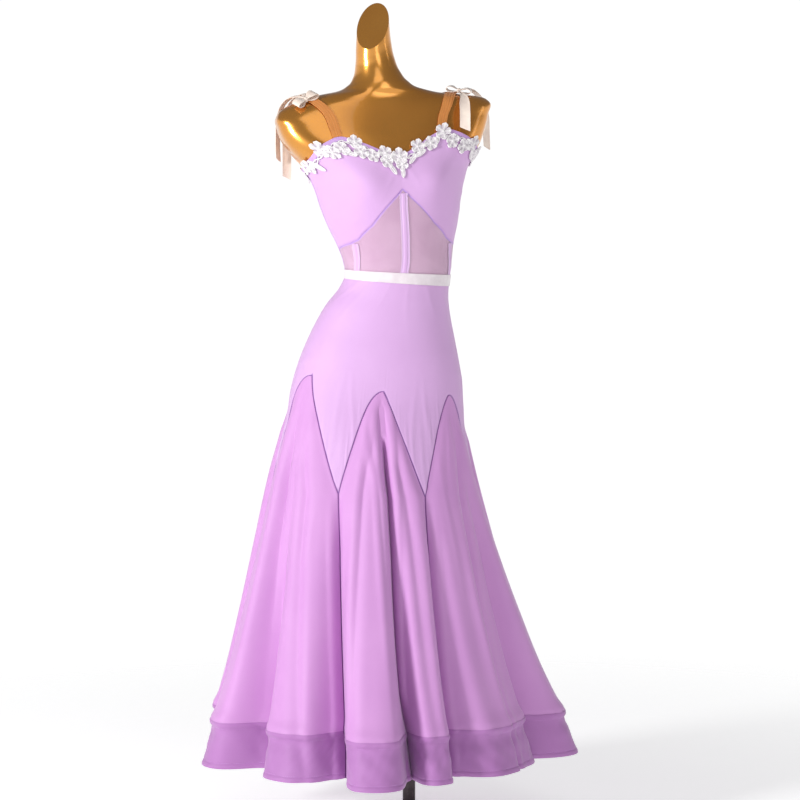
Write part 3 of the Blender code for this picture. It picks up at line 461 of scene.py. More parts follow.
def creases(turn, level, rows):
    """Height in millimetres of the soft creases at a turn and level."""
    row_here = section_row(DRESS, level)
    radius = (row_here["half"] + np.where(np.abs(turn) > 90, row_here["back"], row_here["front"])) / 2
    high = np.zeros(np.broadcast(turn, level).shape)
    for row in records(rows, CREASE_COLUMNS):
        away = (turn - row["turn"] + 180) % 360 - 180
        aside = np.radians(away) * radius
        up = level - row["level"]
        lean = math.radians(row["lean"])
        along = aside * math.sin(lean) + up * math.cos(lean)
        across = aside * math.cos(lean) - up * math.sin(lean)
        ridge = np.exp(-(along / row["length"]) ** 2 - (across / row["width"]) ** 2)
        hollow = np.exp(-(along / row["length"]) ** 2 - (across / (2.2 * row["width"])) ** 2)
        high = high + row["height"] * (ridge - 0.35 * hollow)
    return high


def lengths(points):
    """Lengths along each row from its middle, and along each column from its foot."""
    along = np.zeros(points.shape[:2])
    up = np.zeros(points.shape[:2])
    along[:, 1:] = np.cumsum(np.linalg.norm(np.diff(points, axis=1), axis=-1), axis=1)
    up[1:] = np.cumsum(np.linalg.norm(np.diff(points, axis=0), axis=-1), axis=0)
    along = along - along[:, points.shape[1] // 2][:, None]
    return along, up


def edge_distance(points, sides):
    """Distance in millimetres to the nearest of the named edges, square to it."""
    along, up = lengths(points)
    rim = np.diff(points[[0, -1]], axis=1)
    run = np.hypot(rim[..., 0], rim[..., 1])
    lie = run / np.maximum(np.linalg.norm(rim, axis=-1), 1e-9)
    lie = np.concatenate((lie, lie[:, -1:]), axis=1)
    ways = {
        "left": along - along[:, :1],
        "right": along[:, -1:] - along,
        "low": up * lie[0],
        "top": (up[-1:] - up) * lie[1],
    }
    nearest = np.full(points.shape[:2], 1.0)
    for side in sides:
        nearest = np.minimum(nearest, ways[side])
    return nearest / MM


def quads(index):
    """The four corners of each cell of a grid of vertex numbers."""
    corners = (index[:-1, :-1], index[:-1, 1:], index[1:, 1:], index[1:, :-1])
    return np.stack(corners, axis=-1).reshape(-1, 4)


def wall_part(points, normals, near, far, ring=False, seam=None, uv=None):
    """Vertices, faces, cut coordinates and seam distances of a wall between two offsets; the lace passes
    its painted light and shade in place of seam distances.
    """
    rows, columns = points.shape[:2]
    faces_out = [
        lifted(points, normals, np.broadcast_to(offset, (rows, columns))[..., None]).reshape(-1, 3)
        for offset in (near, far)]
    vertices = np.concatenate(faces_out)
    shift = rows * columns
    index = np.arange(shift).reshape(rows, columns)
    if ring:
        index = np.concatenate((index, index[:, :1]), axis=1)
    cells = quads(index)
    faces = [cells + shift, cells[:, ::-1]]
    rims = [index[0, ::-1], index[-1]]
    if not ring:
        rims += [index[:, 0], index[::-1, -1]]
    for rim in rims:
        faces.append(np.stack((rim[:-1] + shift, rim[1:] + shift, rim[1:], rim[:-1]), 1))
    if uv is None:
        uv = np.stack(lengths(points), axis=-1)
    uv = np.tile(uv.reshape(-1, 2), (2, 1))
    seam = np.tile(np.broadcast_to(FAR_FROM_SEAM if seam is None else seam, (rows, columns)).ravel(), 2)
    return vertices, np.concatenate(faces), uv, seam


def volume(vertices, faces):
    """Signed volume of a closed mesh of quads, positive when its faces point out."""
    a, b, c, d = (vertices[faces[:, i]] for i in range(4))
    return np.sum(np.cross(a, b) * c + np.cross(a, c) * d) / 6


def added(name, data):
    """A new object of the scene with this data."""
    obj = bpy.data.objects.new(name, data)
    bpy.context.scene.collection.objects.link(obj)
    return obj


def piece(name, parts, material):
    """One object from wall parts, smooth shaded with sharp rims, faces out."""
    faces = []
    count = 0
    for corners, part_faces, _, _ in parts:
        outward = part_faces if volume(corners, part_faces) > 0 else part_faces[:, ::-1]
        faces.append(outward + count)
        count += len(corners)
    vertices, _, uv, seam = (np.concatenate(values) for values in zip(*parts))
    data = bpy.data.meshes.new(name)
    data.from_pydata(vertices.tolist(), [], np.concatenate(faces).tolist())
    corners = np.zeros(len(data.loops), dtype=np.int32)
    data.loops.foreach_get("vertex_index", corners)
    layer = data.uv_layers.new(name="cut")
    layer.data.foreach_set("uv", uv[corners].astype(np.float32).ravel())
    mark = data.attributes.new("seam", "FLOAT", "POINT")
    mark.data.foreach_set("value", seam.astype(np.float32))
    data.polygons.foreach_set("use_smooth", np.ones(len(data.polygons), dtype=bool))
    data.set_sharp_from_angle(angle=math.radians(SHARP_ANGLE))
    data.materials.append(material)
    return added(name, data)


# Slots of the materials that differ in name from their slot.
SLOTS = {"bodice_stretch": "lavender_stretch", "lilac_hem": "lilac_crepe", "bow_satin": "ivory_satin"}


def stand_in(node, suffix, parts, material):
    """A piece that rides with the dress and stands for its CAD node."""
    obj = piece(f"{node}_{suffix}", parts, material)
    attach(obj, "root")
    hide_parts(node)
    finish = material.name.split(".")[0]
    SLOTS.get(finish, finish)
    return obj


def cell_area(points):
    """Area of a grid of points, each cell as the mean of its two ways of splitting."""
    low = points[:-1, :-1]
    high = points[1:, 1:]
    aside = points[:-1, 1:]
    up = points[1:, :-1]
    one = np.linalg.norm(np.cross(up - low, aside - low), axis=-1)
    two = np.linalg.norm(np.cross(up - high, aside - high), axis=-1)
    return float(np.sum(one + two) / 2)


def cloth_piece(node, grid, near, far, material, rests_on, ring=False, seam=None, cut=None):
    """A sheet of cloth in place of its CAD node."""
    points, normals = grid
    obj = stand_in(node, "cloth", [wall_part(points, normals, near, far, ring, seam)], material)
    along, up = lengths(points)
    width, length = cut or (float(np.max(along[:, -1] - along[:, 0])), float(np.max(up[-1])))
    closing = 1 + 1 / (points.shape[1] - 1) if ring else 1
    width = width * closing
    area = cell_area(points) * closing
    area = min(max(area, 0.31 * width * length), width * length)
    return obj


def unit(vectors):
    """The same directions with length 1."""
    return vectors / np.maximum(np.linalg.norm(vectors, axis=-1, keepdims=True), 1e-12)


def dip(distance, depth=0.9, reach=1.6):
    """How far cloth turns in towards a seam."""
    return depth * bell(distance, 0, reach)


class Wire:
    """An output of a material's node, written in plain arithmetic."""

    def __init__(self, tree, socket=None):
        self.tree = tree
        self.socket = socket

    def make(self, kind, inputs=(), output=0, **settings):
        """A node of any kind from its settings and inputs, as one of its outputs."""
        node = self.tree.nodes.new(kind)
        for key, value in settings.items():
            setattr(node, key, value)
        pairs = inputs.items() if isinstance(inputs, dict) else enumerate(inputs)
        for key, value in pairs:
            if isinstance(value, Wire):
                self.tree.links.new(value.socket, node.inputs[key])
            else:
                node.inputs[key].default_value = value
        return Wire(self.tree, node.outputs[output])

    def sum(self, operation, *values):
        """A maths node on these values."""
        return self.make("ShaderNodeMath", values, operation=operation)

    def __add__(self, other):
        return self.sum("ADD", self, other)

    __radd__ = __add__

    def __sub__(self, other):
        return self.sum("SUBTRACT", self, other)

    def __rsub__(self, other):
        return self.sum("SUBTRACT", other, self)

    def __mul__(self, other):
        return self.sum("MULTIPLY", self, other)

    def wave(self, pitch):
        """A sine wave along this value, from -1 to 1."""
        return self.sum("SINE", self * (2 * math.pi / pitch))

    def ribs(self, pitch):
        """The same wave from 0 to 1."""
        return self.wave(pitch) * 0.5 + 0.5

    def clamped(self, low, high):
        """0 at low and 1 at high, held outside them."""
        return self.make("ShaderNodeMapRange", {0: self, 1: low, 2: high, 3: 0.0, 4: 1.0})

    def mixed(self, first, second):
        """The first colour where this is 0, the second where it is 1."""
        return self.make("ShaderNodeMix", {0: self, 6: first, 7: second}, output=2, data_type="RGBA")


def colour(red, green, blue):
    """A colour from screen values of 0 to 255."""
    def straight(value):
        part = value / 255
        return part / 12.92 if part <= 0.04045 else ((part + 0.055) / 1.055) ** 2.4
    return (straight(red), straight(green), straight(blue), 1.0)


def cut_place(tools):
    """Place on the cut cloth in millimetres, along the row and up the column."""
    where = tools.make("ShaderNodeUVMap", uv_map="cut")
    return [tools.make("ShaderNodeSeparateXYZ", [where], output=i) * 1000.0 for i in (0, 1)]


def own_place(tools, kind="Object"):
    """Place in the object's own metres."""
    return tools.make("ShaderNodeTexCoord", output=kind)


def noise(tools, scale, detail=2.0, roughness=0.5):
    """Noise at a scale of the object's own metres, from 0 to 1."""
    settings = {"Vector": own_place(tools), "Scale": scale, "Detail": detail, "Roughness": roughness}
    return tools.make("ShaderNodeTexNoise", settings)


def seam_distance(tools):
    """Distance in millimetres to the nearest seam; on the lace it holds the painted light and shade of its
    relief instead.
    """
    return tools.make("ShaderNodeAttribute", output=2, attribute_name="seam")


def material(name, look, colours=(), bump=0.3, depth=0.0003, shape=None, **constants):
    """A material whose look returns its varying inputs, with the rest as constants."""
    made = bpy.data.materials.new(name)
    made.use_nodes = True
    tools = Wire(made.node_tree)
    shader = made.node_tree.nodes["Principled BSDF"]
    for key, value in constants.items():
        shader.inputs[key.replace("_", " ")].default_value = value
    for key, value in look(tools, *(colour(*spot) for spot in colours), **(shape or {})).items():
        if key == "Height":
            value = tools.make("ShaderNodeBump", {"Strength": bump, "Distance": depth, "Height": value})
            key = "Normal"
        made.node_tree.links.new(value.socket, shader.inputs[key])
    return made


def crepe(tools, lit, deep, thread, grain=1.5):
    """Stretch cloth: crossing yarns, pebbled surface, soft patches, and painted shade along its seams."""
    along, up = cut_place(tools)
    weave = along.wave(grain) * up.wave(grain) * 0.5 + 0.5
    pebble = noise(tools, 620.0)
    patches = noise(tools, 9.0, 3.0)
    cloth = (patches * 0.7 + pebble * 0.3).clamped(0.34, 0.68).mixed(deep, lit)
    return {
        # Within about 2 mm of a seam the thread colour is painted shade in the seam's groove; on the boning
        # tape it is a paler line instead.
        "Base Color": seam_distance(tools).clamped(0.4, 2.2).mixed(thread, cloth),
        "Roughness": 0.5 + pebble * 0.22,
        "Height": weave * 0.5 + pebble * 0.8,
    }


def net(tools, lit, deep, thread):
    """Sheer stretch mesh: a fine six-sided net that the form shows through a little."""
    along, up = cut_place(tools)
    aslant = up * 0.866
    ways = (along, along * -0.5 + aslant, along * -0.5 - aslant)
    first, second, third = (way.wave(1.3) for way in ways)
    holes = ((first + second + third) * 0.5).clamped(0.25, 0.7)
    patches = noise(tools, 14.0, 3.0)
    # Near a seam the net turns solid, the seam's doubled cloth, and takes the thread colour as painted
    # shade along the seam.
    near_seam = seam_distance(tools).clamped(0.4, 3.0)
    return {
        "Base Color": near_seam.mixed(thread, patches.clamped(0.35, 0.65).mixed(deep, lit)),
        "Roughness": 0.5 + patches * 0.2,
        "Alpha": 1.0 - holes * near_seam * 0.7,
        "Height": 1.0 - holes,
    }


def satin(tools, lit, deep):
    """Satin ribbon: fine ribs across its length, and a streaky shine painted into its colour as well as set
    in its roughness.
    """
    sheen_streaks = noise(tools, 70.0, 4.0)
    return {
        "Base Color": sheen_streaks.clamped(0.3, 0.7).mixed(deep, lit),
        "Roughness": 0.28 + sheen_streaks * 0.2,
        "Height": cut_place(tools)[0].ribs(0.7) * 0.3 + sheen_streaks * 0.7,
    }


def guipure(tools, lit, deep):
    """Lace of packed thread: fine radiating stitches, and painted shade that makes it greyer in its
    hollows.
    """
    along, up = cut_place(tools)
    fluff = noise(tools, 900.0, 3.0)
    # hollow is the painted lightness: 1 on the raised lace, 0 where painted shade fills its hollows.
    hollow = seam_distance(tools).clamped(0.0, 1.0)
    return {
        "Base Color": (hollow * 0.9 + fluff * 0.2).mixed(deep, lit),
        "Roughness": 0.6 + fluff * 0.3,
        "Height": (along + up * 0.44404).ribs(0.9) * 0.6 + fluff * 0.6,
    }


def elastic(tools, lit, deep):
    """Ribbed elastic: cords along it, wrapped by fine threads across, in a colour with painted shade
    between the cords and wraps, and patchy wear.
    """
    along, up = cut_place(tools)
    cords = along.ribs(STRAP_CORD)
    wraps = up.ribs(1.1)
    worn = noise(tools, 55.0, 3.0)
    return {
        "Base Color": (cords * 0.55 + wraps * 0.15 + worn * 0.4).mixed(deep, lit),
        "Roughness": 0.45 + worn * 0.25,
        "Height": cords * 0.6 + wraps * 0.4,
    }


def lacquer(tools, lit, deep):
    """Gold lacquer: a soft metallic cast that varies a little, and uneven polish."""
    return {
        "Base Color": noise(tools, 5.0).clamped(0.35, 0.65).mixed(deep, lit),
        "Roughness": 0.16 + noise(tools, 9.0) * 0.1,
    }


def brushed(tools, lit, deep):
    """Dark turned steel: fine rings round the axis and a few lighter rubs."""
    fine = noise(tools, 420.0)
    return {
        "Base Color": noise(tools, 30.0, 5.0, 0.7).clamped(0.45, 0.8).mixed(deep, lit),
        "Roughness": 0.28 + fine * 0.2,
        "Height": fine,
    }


# The third colour of each crepe and of the net is painted shade along its seams; only the boning tape's is
# paler than its cloth.
STRETCH = {"bump": 0.35, "Sheen_Weight": 0.3, "Sheen_Roughness": 0.4}
SHINE = {"Sheen_Weight": 0.3, "Specular_IOR_Level": 0.6}
LAVENDER = material(
    "lavender_stretch", crepe, [(213, 170, 220), (207, 163, 214), (122, 70, 150)], **STRETCH)
BODICE = material(
    "bodice_stretch", crepe, [(213, 170, 220), (207, 163, 214), (184, 146, 214)], **STRETCH)
LILAC = material(
    "lilac_crepe", crepe, [(206, 150, 209), (200, 143, 204), (104, 44, 120)],
    Sheen_Weight=0.35, Sheen_Roughness=0.35)
# The hem bands take the lilac crepe in darker colours: painted shade over the bands.
SHADED_HEM = material("lilac_hem", crepe, [(178, 122, 184), (170, 113, 176), (90, 40, 106)], **STRETCH)
NET = material(
    "sheer_mesh", net, [(216, 178, 206), (206, 166, 196), (184, 146, 214)],
    bump=0.4, Sheen_Weight=0.2)
TAPE = material(
    "boning_tape", crepe, [(216, 176, 222), (206, 164, 213), (222, 190, 230)],
    bump=0.4, shape={"grain": 2.0}, Sheen_Weight=0.25)
BINDING = material(
    "neck_binding", crepe, [(206, 168, 222), (196, 156, 214), (150, 108, 184)],
    bump=0.35, shape={"grain": 1.2}, Sheen_Weight=0.25)
SATIN = material("ivory_satin", satin, [(232, 223, 228), (220, 208, 215)], **SHINE)
BOW_SATIN = material("bow_satin", satin, [(242, 226, 212), (224, 206, 194)], **SHINE)
# The lace's second colour is painted shade for its hollows.
LACE = material(
    "white_lace", guipure, [(246, 242, 243), (182, 168, 184)], bump=0.6, depth=0.0005, Sheen_Weight=0.2)
ELASTIC = material(
    "tan_elastic", elastic, [(228, 150, 72), (174, 102, 42)], bump=0.5, depth=0.0005, Sheen_Weight=0.15)
GOLD = material(
    "form_gold", lacquer, [(224, 156, 68), (208, 138, 54)],
    Metallic=0.78, Coat_Weight=0.6, Coat_Roughness=0.04)
STEEL = material(
    "stand_metal", brushed, [(96, 88, 90), (64, 56, 60)], bump=0.15, depth=0.0002, Metallic=1.0)
THREAD = material("sewing_thread", satin, [(214, 170, 226), (180, 130, 200)], depth=0.0002)
PALE_THREAD = material("pale_thread", satin, [(250, 240, 250), (230, 214, 234)], depth=0.0002)


# Geometry nodes of a stitch: the group's inputs, the nodes with their
# settings and fixed inputs, and the links from an output to an input.
STITCH_INPUTS = [
    ("Geometry", "Geometry"), ("Length", "Float"), ("Thickness", "Float"), ("Variation", "Float"),
    ("Seed", "Int")]
VECTOR = {"data_type": "FLOAT_VECTOR"}
STITCH_NODES = [
    ("in", "NodeGroupInput", {}, {}),
    ("out", "NodeGroupOutput", {}, {}),
    ("bead", "GeometryNodeMeshUVSphere", {}, {"Segments": 8, "Rings": 5, "Radius": 0.5}),
    ("size", "ShaderNodeCombineXYZ", {}, {}),
    ("shape", "GeometryNodeTransform", {}, {}),
    ("tangent", "GeometryNodeInputNamedAttribute", VECTOR, {"Name": "tangent"}),
    ("outward", "GeometryNodeInputNamedAttribute", VECTOR, {"Name": "outward"}),
    ("face_out", "FunctionNodeAlignRotationToVector", {"axis": "Z"}, {}),
    ("face_along", "FunctionNodeAlignRotationToVector", {"axis": "X", "pivot_axis": "Z"}, {}),
    ("random", "FunctionNodeRandomValue", {"data_type": "FLOAT"}, {3: 1.0}),
    ("low", "ShaderNodeMath", {"operation": "SUBTRACT"}, {0: 1.0}),
    ("spread", "GeometryNodeInstanceOnPoints", {}, {}),
    ("real", "GeometryNodeRealizeInstances", {}, {}),
    ("paint", "GeometryNodeSetMaterial", {}, {}),
]
STITCH_LINKS = [
    ("in", "Length", "size", "X"),
    ("in", "Thickness", "size", "Y"),
    ("in", "Thickness", "size", "Z"),
    ("bead", "Mesh", "shape", "Geometry"),
    ("size", "Vector", "shape", "Scale"),
    ("outward", "Attribute", "face_out", "Vector"),
    ("face_out", "Rotation", "face_along", "Rotation"),
    ("tangent", "Attribute", "face_along", "Vector"),
    ("in", "Variation", "low", 1),
    ("low", 0, "random", 2),
    ("in", "Seed", "random", "Seed"),
    ("in", "Geometry", "spread", "Points"),
    ("shape", "Geometry", "spread", "Instance"),
    ("face_along", "Rotation", "spread", "Rotation"),
    ("random", 1, "spread", "Scale"),
    ("spread", "Instances", "real", "Geometry"),
    ("real", "Geometry", "paint", "Geometry"),
    ("paint", "Geometry", "out", "Geometry"),
]


def stitch_tree(name, finish):
    """Geometry nodes that lay one small thread loop on every point of a mesh."""
    tree = bpy.data.node_groups.new(name, "GeometryNodeTree")
    for label, kind in STITCH_INPUTS:
        tree.interface.new_socket(label, in_out="INPUT", socket_type="NodeSocket" + kind)
    tree.interface.new_socket("Geometry", in_out="OUTPUT", socket_type="NodeSocketGeometry")
    nodes = {}
    for label, kind, settings, values in STITCH_NODES:
        nodes[label] = tree.nodes.new(kind)
        for key, value in settings.items():
            setattr(nodes[label], key, value)
        for key, value in values.items():
            nodes[label].inputs[key].default_value = value
    nodes["paint"].inputs["Material"].default_value = finish
    for source, output, target, entry in STITCH_LINKS:
        tree.links.new(nodes[source].outputs[output], nodes[target].inputs[entry])
    return tree


def line_places(points):
    """Length along a line at each of its points."""
    return np.concatenate(([0.0], np.cumsum(np.linalg.norm(np.diff(points, axis=0), axis=1))))


def along_line(wanted, places, values):
    """Values of a line's spots at the wanted places along it."""
    return np.stack([np.interp(wanted, places, values[:, i]) for i in range(3)], axis=1)


def run_lines(lines, spacing):
    """Evenly spaced spots, tangents and normals along lines of points and normals."""
    found = []
    for points, outward in lines:
        places = line_places(points)
        wanted = np.arange(spacing / 2, places[-1], spacing)
        spot = along_line(wanted, places, points)
        ahead = along_line(wanted + spacing * 0.2, places, points)
        found.append((spot, ahead - spot, along_line(wanted, places, outward)))
    return [np.concatenate(values) for values in zip(*found)]


STITCH_COLUMNS = ("name", "spacing", "length", "thickness", "seed")
STITCHES = [
    ("binding_stitches", 3.1, 2.3, 0.55, 5),
    ("bodice_stitches", 3.2, 2.3, 0.5, 7),
    ("tape_picots", 2.6, 1.9, 1.5, 11),
    ("godet_stitches", 4.2, 2.8, 0.6, 13),
    ("hem_stitches", 4.0, 2.8, 0.6, 17),
]
SIZE_VARIATION = 0.12


def stitches(name, lines, tree):
    """Thread loops along lines on the cloth, as one plain mesh that rides with it."""
    kind = next(record for record in records(STITCHES, STITCH_COLUMNS) if record["name"] == name)
    spots, tangents, normals = run_lines(lines, kind["spacing"] * MM)
    data = bpy.data.meshes.new(name)
    data.from_pydata(spots.tolist(), [], [])
    for label, values in (("tangent", tangents), ("outward", normals)):
        layer = data.attributes.new(label, "FLOAT_VECTOR", "POINT")
        layer.data.foreach_set("vector", values.astype(np.float32).ravel())
    holder = added(name, data)
    modifier = holder.modifiers.new("stitches", "NODES")
    modifier.node_group = tree
    given = {
        "Length": kind["length"] * MM, "Thickness": kind["thickness"] * MM,
        "Variation": SIZE_VARIATION, "Seed": kind["seed"]}
    for item in tree.interface.items_tree:
        if item.in_out == "INPUT" and item.name in given:
            modifier[item.identifier] = given[item.name]
    graph = bpy.context.evaluated_depsgraph_get()
    made = bpy.data.meshes.new_from_object(holder.evaluated_get(graph))
    bpy.data.objects.remove(holder)
    made.name = name
    for face in made.polygons:
        face.use_smooth = True
    obj = added(name, made)
    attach(obj, "root")


SEWN = stitch_tree("sewn_thread", THREAD)
SEWN_PALE = stitch_tree("sewn_pale_thread", PALE_THREAD)


def make_form():
    """The dress form: one smooth lacquered skin from the hips to the slanted neck."""
    turns = np.arange(0, 360, 2.0)
    lower = np.linspace(758, 1045, 78)
    upper = np.concatenate((np.linspace(1049, 1400, 90), np.linspace(1402, 1560, 110)))
    levels = np.concatenate((lower, upper))
    points = body_point(FORM, turns[None, :], levels[:, None])
    caps = []
    for ring, shares in ((points[0], (0.0, 0.5, 0.9, 0.985)), (points[-1], (0.985, 0.9, 0.5, 0.0))):
        middle = ring.mean(axis=0)
        caps.append(np.stack([middle + (ring - middle) * share for share in shares]))
    points = np.concatenate((caps[0], points, caps[1]))
    count = len(turns)
    index = np.arange(points.shape[0] * count).reshape(-1, count)
    faces = quads(np.concatenate((index, index[:, :1]), axis=1))
    uv = np.stack(lengths(points), axis=-1).reshape(-1, 2)
    part = (points.reshape(-1, 3), faces, uv, np.full(len(uv), FAR_FROM_SEAM))
    skin = piece("form_skin", [part], GOLD)
    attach(skin, "root")
    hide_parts("form_body")


def make_stand():
    """The pole and the round foot stay as built, in dark turned steel."""
    for node in ("form_pole", "form_base"):
        data = frame["nodes"][node].data
        data.materials.clear()
        data.materials.append(STEEL)


def panel(turns, low, high, rows, sides, rows_of_creases):
    """Grid of a body panel, with its seam distances and the height of its creases."""
    share = np.linspace(0, 1, rows)
    share = np.concatenate(([0.0, 0.006], share[1:-1], [0.994, 1.0]))[:, None]
    level = low + (high - low) * share
    turn = np.broadcast_to(turns, level.shape)
    grid = dress_face(turn, level)
    seam = edge_distance(grid[0], sides)
    return grid, seam, creases(turn, level, rows_of_creases)


def side_to_side(first, last, count):
    """Turns across a panel, with close columns beside its seams."""
    middle = np.linspace(first, last, count)[1:-1]
    return np.concatenate(([first, first + 0.25, first + 0.6], middle, [last - 0.6, last - 0.25, last]))


def make_bodice():
    """Front with cups, back, sheer midriff, and the bindings of the top edge."""
    front = side_to_side(-SIDE_SEAM, SIDE_SEAM, 200)
    back = side_to_side(SIDE_SEAM, 360 - SIDE_SEAM, 180)
    panels = [
        ("bodice_front", front, underbust(front), neckline(front), 70, ("left", "right", "low")),
        ("bodice_back", back, WAIST, neckline(back), 90, ("left", "right")),
        ("midriff_front", front, WAIST, underbust(front), 50, ("left", "right", "top")),
    ]
    for name, turns, low, high, rows, sides in panels:
        sheer = name == "midriff_front"
        rows_of_creases = MIDRIFF_CREASES if sheer else BODICE_CREASES
        grid, seam, crease = panel(turns, low, high, rows, sides, rows_of_creases)
        finish = NET if sheer else BODICE
        far = FAR + crease - dip(seam)
        cloth_piece(name, grid, NEAR, far, finish, ["form_skin"], seam=seam)
    lines = []
    for name, edge in (("front", front), ("back", back)):
        share = np.linspace(0, 1, BINDING_STEPS + 1)[:, None]
        level = neckline(edge) - BINDING_WIDTH * (1 - share)
        turn = np.broadcast_to(edge, level.shape)
        points, normals = dress_face(turn, level)
        up = share * BINDING_WIDTH
        rolled = np.sqrt(np.clip(1 - ((up - BINDING_WIDTH / 2) / (BINDING_WIDTH / 2)) ** 6, 0, 1))
        sewn = sum(bell(up, place, 0.45) for place in BINDING_ROWS)
        far = BINDING_NEAR + 0.25 + 0.75 * rolled - 0.32 * sewn + 0 * turn
        seam = np.clip(up, 0, 3) + 0 * turn
        cloth_piece(
            "neck_binding_" + name, (points, normals), BINDING_NEAR, far, BINDING,
            ["bodice_" + name + "_cloth"], seam=seam)
        for place in BINDING_ROWS:
            row = int(round(place / BINDING_WIDTH * BINDING_STEPS))
            lines.append((lifted(points[row], normals[row], BINDING_NEAR + 0.78), normals[row]))
    stitches("binding_stitches", lines, SEWN)


def bust_seam_stitches():
    """Two rows of fine stitches that follow the pointed bust seam and the sides."""
    turns = np.linspace(-92, 92, 400)
    lines = []
    for drop in (2.2, 4.2):
        points, normals = dress_face(turns, underbust(turns) + drop)
        lines.append((lifted(points, normals, FAR + 0.05), normals))
    for turn in (-SIDE_SEAM, SIDE_SEAM):
        levels = np.linspace(WAIST + 16, 1294, 120)
        for aside in (-1.0, 1.0):
            points, normals = dress_face(np.full_like(levels, turn + aside), levels)
            lines.append((lifted(points, normals, FAR + 0.02), normals))
    stitches("bodice_stitches", lines, SEWN)


STRIP_COLUMNS = ("name", "top_turn", "foot_turn", "half_width")
STRIPS = [
    ("strip_left", -52.0, -57.0, 6.5),
    ("strip_centre", 0.3, -1.0, 7.5),
    ("strip_right", 55.5, 65.5, 6.5),
]


def make_strips():
    """Boning tapes: a rounded channel, two flat borders and a looped picot edge."""
    foot = WAIST + RIBBON_WIDTH / 2 + 0.4
    lines = []
    for strip in records(STRIPS, STRIP_COLUMNS):
        share = np.linspace(0, 1, 90)[:, None]
        middle = strip["foot_turn"] + (strip["top_turn"] - strip["foot_turn"]) * share
        top = underbust(strip["top_turn"]) - (7.0 if strip["name"] == "strip_centre" else 4.0)
        level = foot + (top - foot) * share
        across = np.linspace(-1, 1, 25)
        per_degree = degree_length(middle, level)
        picot = 1 + 0.08 * np.sin(level * 2 * math.pi / 6.5)
        turn = middle + across * picot * strip["half_width"] / per_degree
        points, normals = dress_face(turn, np.broadcast_to(level, turn.shape))
        aside = np.abs(across)[None, :]
        channel = np.clip(1 - (aside / 0.5) ** 2, 0, 1) ** 0.5
        far = TAPE_NEAR + 0.65 + 0.75 * channel - 0.35 * bell(aside, 0.56, 0.07) + 0 * share
        seam = np.abs(aside - 0.56) * strip["half_width"] + 0.5 + 0 * share
        cloth_piece(
            strip["name"], (points, normals), TAPE_NEAR, far, TAPE,
            ["midriff_front_cloth"], seam=seam)
        for side in (0, -1):
            lines.append((lifted(points[:, side], normals[:, side], TAPE_NEAR + 0.4), normals[:, side]))
    stitches("tape_picots", lines, SEWN_PALE)


def make_waist_ribbon():
    """Satin ribbon round the waist, a little cupped, with firm edges."""
    share = np.linspace(0, 1, 17)[:, None]
    level = WAIST - RIBBON_WIDTH / 2 + RIBBON_WIDTH * share
    turn, level = np.broadcast_arrays(np.arange(0, 360, 1.5), level)
    points, normals = dress_face(turn, level)
    across = 2 * share - 1
    wave = 0.25 * np.sin(np.radians(turn * 9)) * (1 - across ** 2)
    wave = wave + 0.2 * np.sin(np.radians(turn * 23 + 40))
    far = RIBBON_NEAR + 0.7 + wave + 0.35 * bell(np.abs(across), 0.93, 0.05)
    cloth_piece(
        "waist_ribbon", (points, normals), RIBBON_NEAR, far, SATIN,
        ["bodice_back_cloth", "yoke_front_cloth"], ring=True)


# Shares of the way down a godet's curved seams, closer together at its apex.
FINE_SHARES = 0.004 + 0.996 * np.linspace(0, 1, 34) ** 1.7


def edge_points(godet, right):
    """Turns and levels of a godet's seam from its apex to the yoke point."""
    point = godet + 1 if right else godet
    top = GODET["apex_level"][godet]
    low = POINT["level"][point]
    levels = top + (low - top) * FINE_SHARES
    return godet_edge(godet, right, levels), levels


def yoke_columns(first_point, last_point):
    """The yoke's lower edge from one yoke point to another, as turns and levels."""
    turns = []
    levels = []
    for godet in range(first_point, last_point):
        left_turn, left_level = edge_points(godet, False)
        right_turn, right_level = edge_points(godet, True)
        if godet == first_point:
            turns.append(left_turn[-1])
            levels.append(left_level[-1])
        turns += list(left_turn[-2::-1]) + list(right_turn)
        levels += list(left_level[-2::-1]) + list(right_level)
    return np.array(turns), np.array(levels)


def make_yoke():
    """Hip yoke, front and back, with pointed lower edges and pulled creases."""
    front = yoke_columns(2, 5)
    right_turn, right_low = yoke_columns(5, 7)
    left_turn, left_low = yoke_columns(0, 2)
    back = (np.concatenate((right_turn, left_turn[1:] + 360)), np.concatenate((right_low, left_low[1:])))
    for name, (turns, low), cut in (("yoke_front", front, (0.48, 0.41)), ("yoke_back", back, (0.58, 0.41))):
        grid, seam, crease = panel(turns, low, WAIST, 72, ("left", "right", "low"), YOKE_CREASES)
        above = grid[0][..., 2] / MM - low
        turn = np.broadcast_to(turns, above.shape)
        near_point = np.clip((850 - low) / 110, 0.12, 1)
        wave = np.sin(np.radians(turn * 138) + 1.9 * np.sin(np.radians(turn * 31)) + above * 0.02)
        pulled = np.clip(wave, 0, 1) ** 2.5 * bell(above, 12, 42)
        gathers = 1.7 * near_point * pulled * (0.6 + 0.4 * np.sin(np.radians(turn * 47)))
        far = SKIRT_FAR + crease + gathers - dip(seam, 1.0)
        cloth_piece(name, grid, NEAR, far, LAVENDER, ["form_skin"], seam=seam, cut=cut)


# Places across a godet and levels of a hem band, closer together beside the seams.
ACROSS = np.concatenate((
    [0.0, 0.004, 0.009, 0.016, 0.028], np.linspace(0.04, 0.96, 96), [0.972, 0.984, 0.991, 0.996, 1.0]))
BAND_ROWS = np.concatenate((
    [HEM_LEVEL, HEM_LEVEL + 1.2], np.linspace(HEM_LEVEL + 3, HEM_LEVEL + 11, 7),
    np.linspace(HEM_LEVEL + 14, BAND_LEVEL - 3, 26), [BAND_LEVEL - 1, BAND_LEVEL]))
FRONT_GODETS = (2, 3, 4)
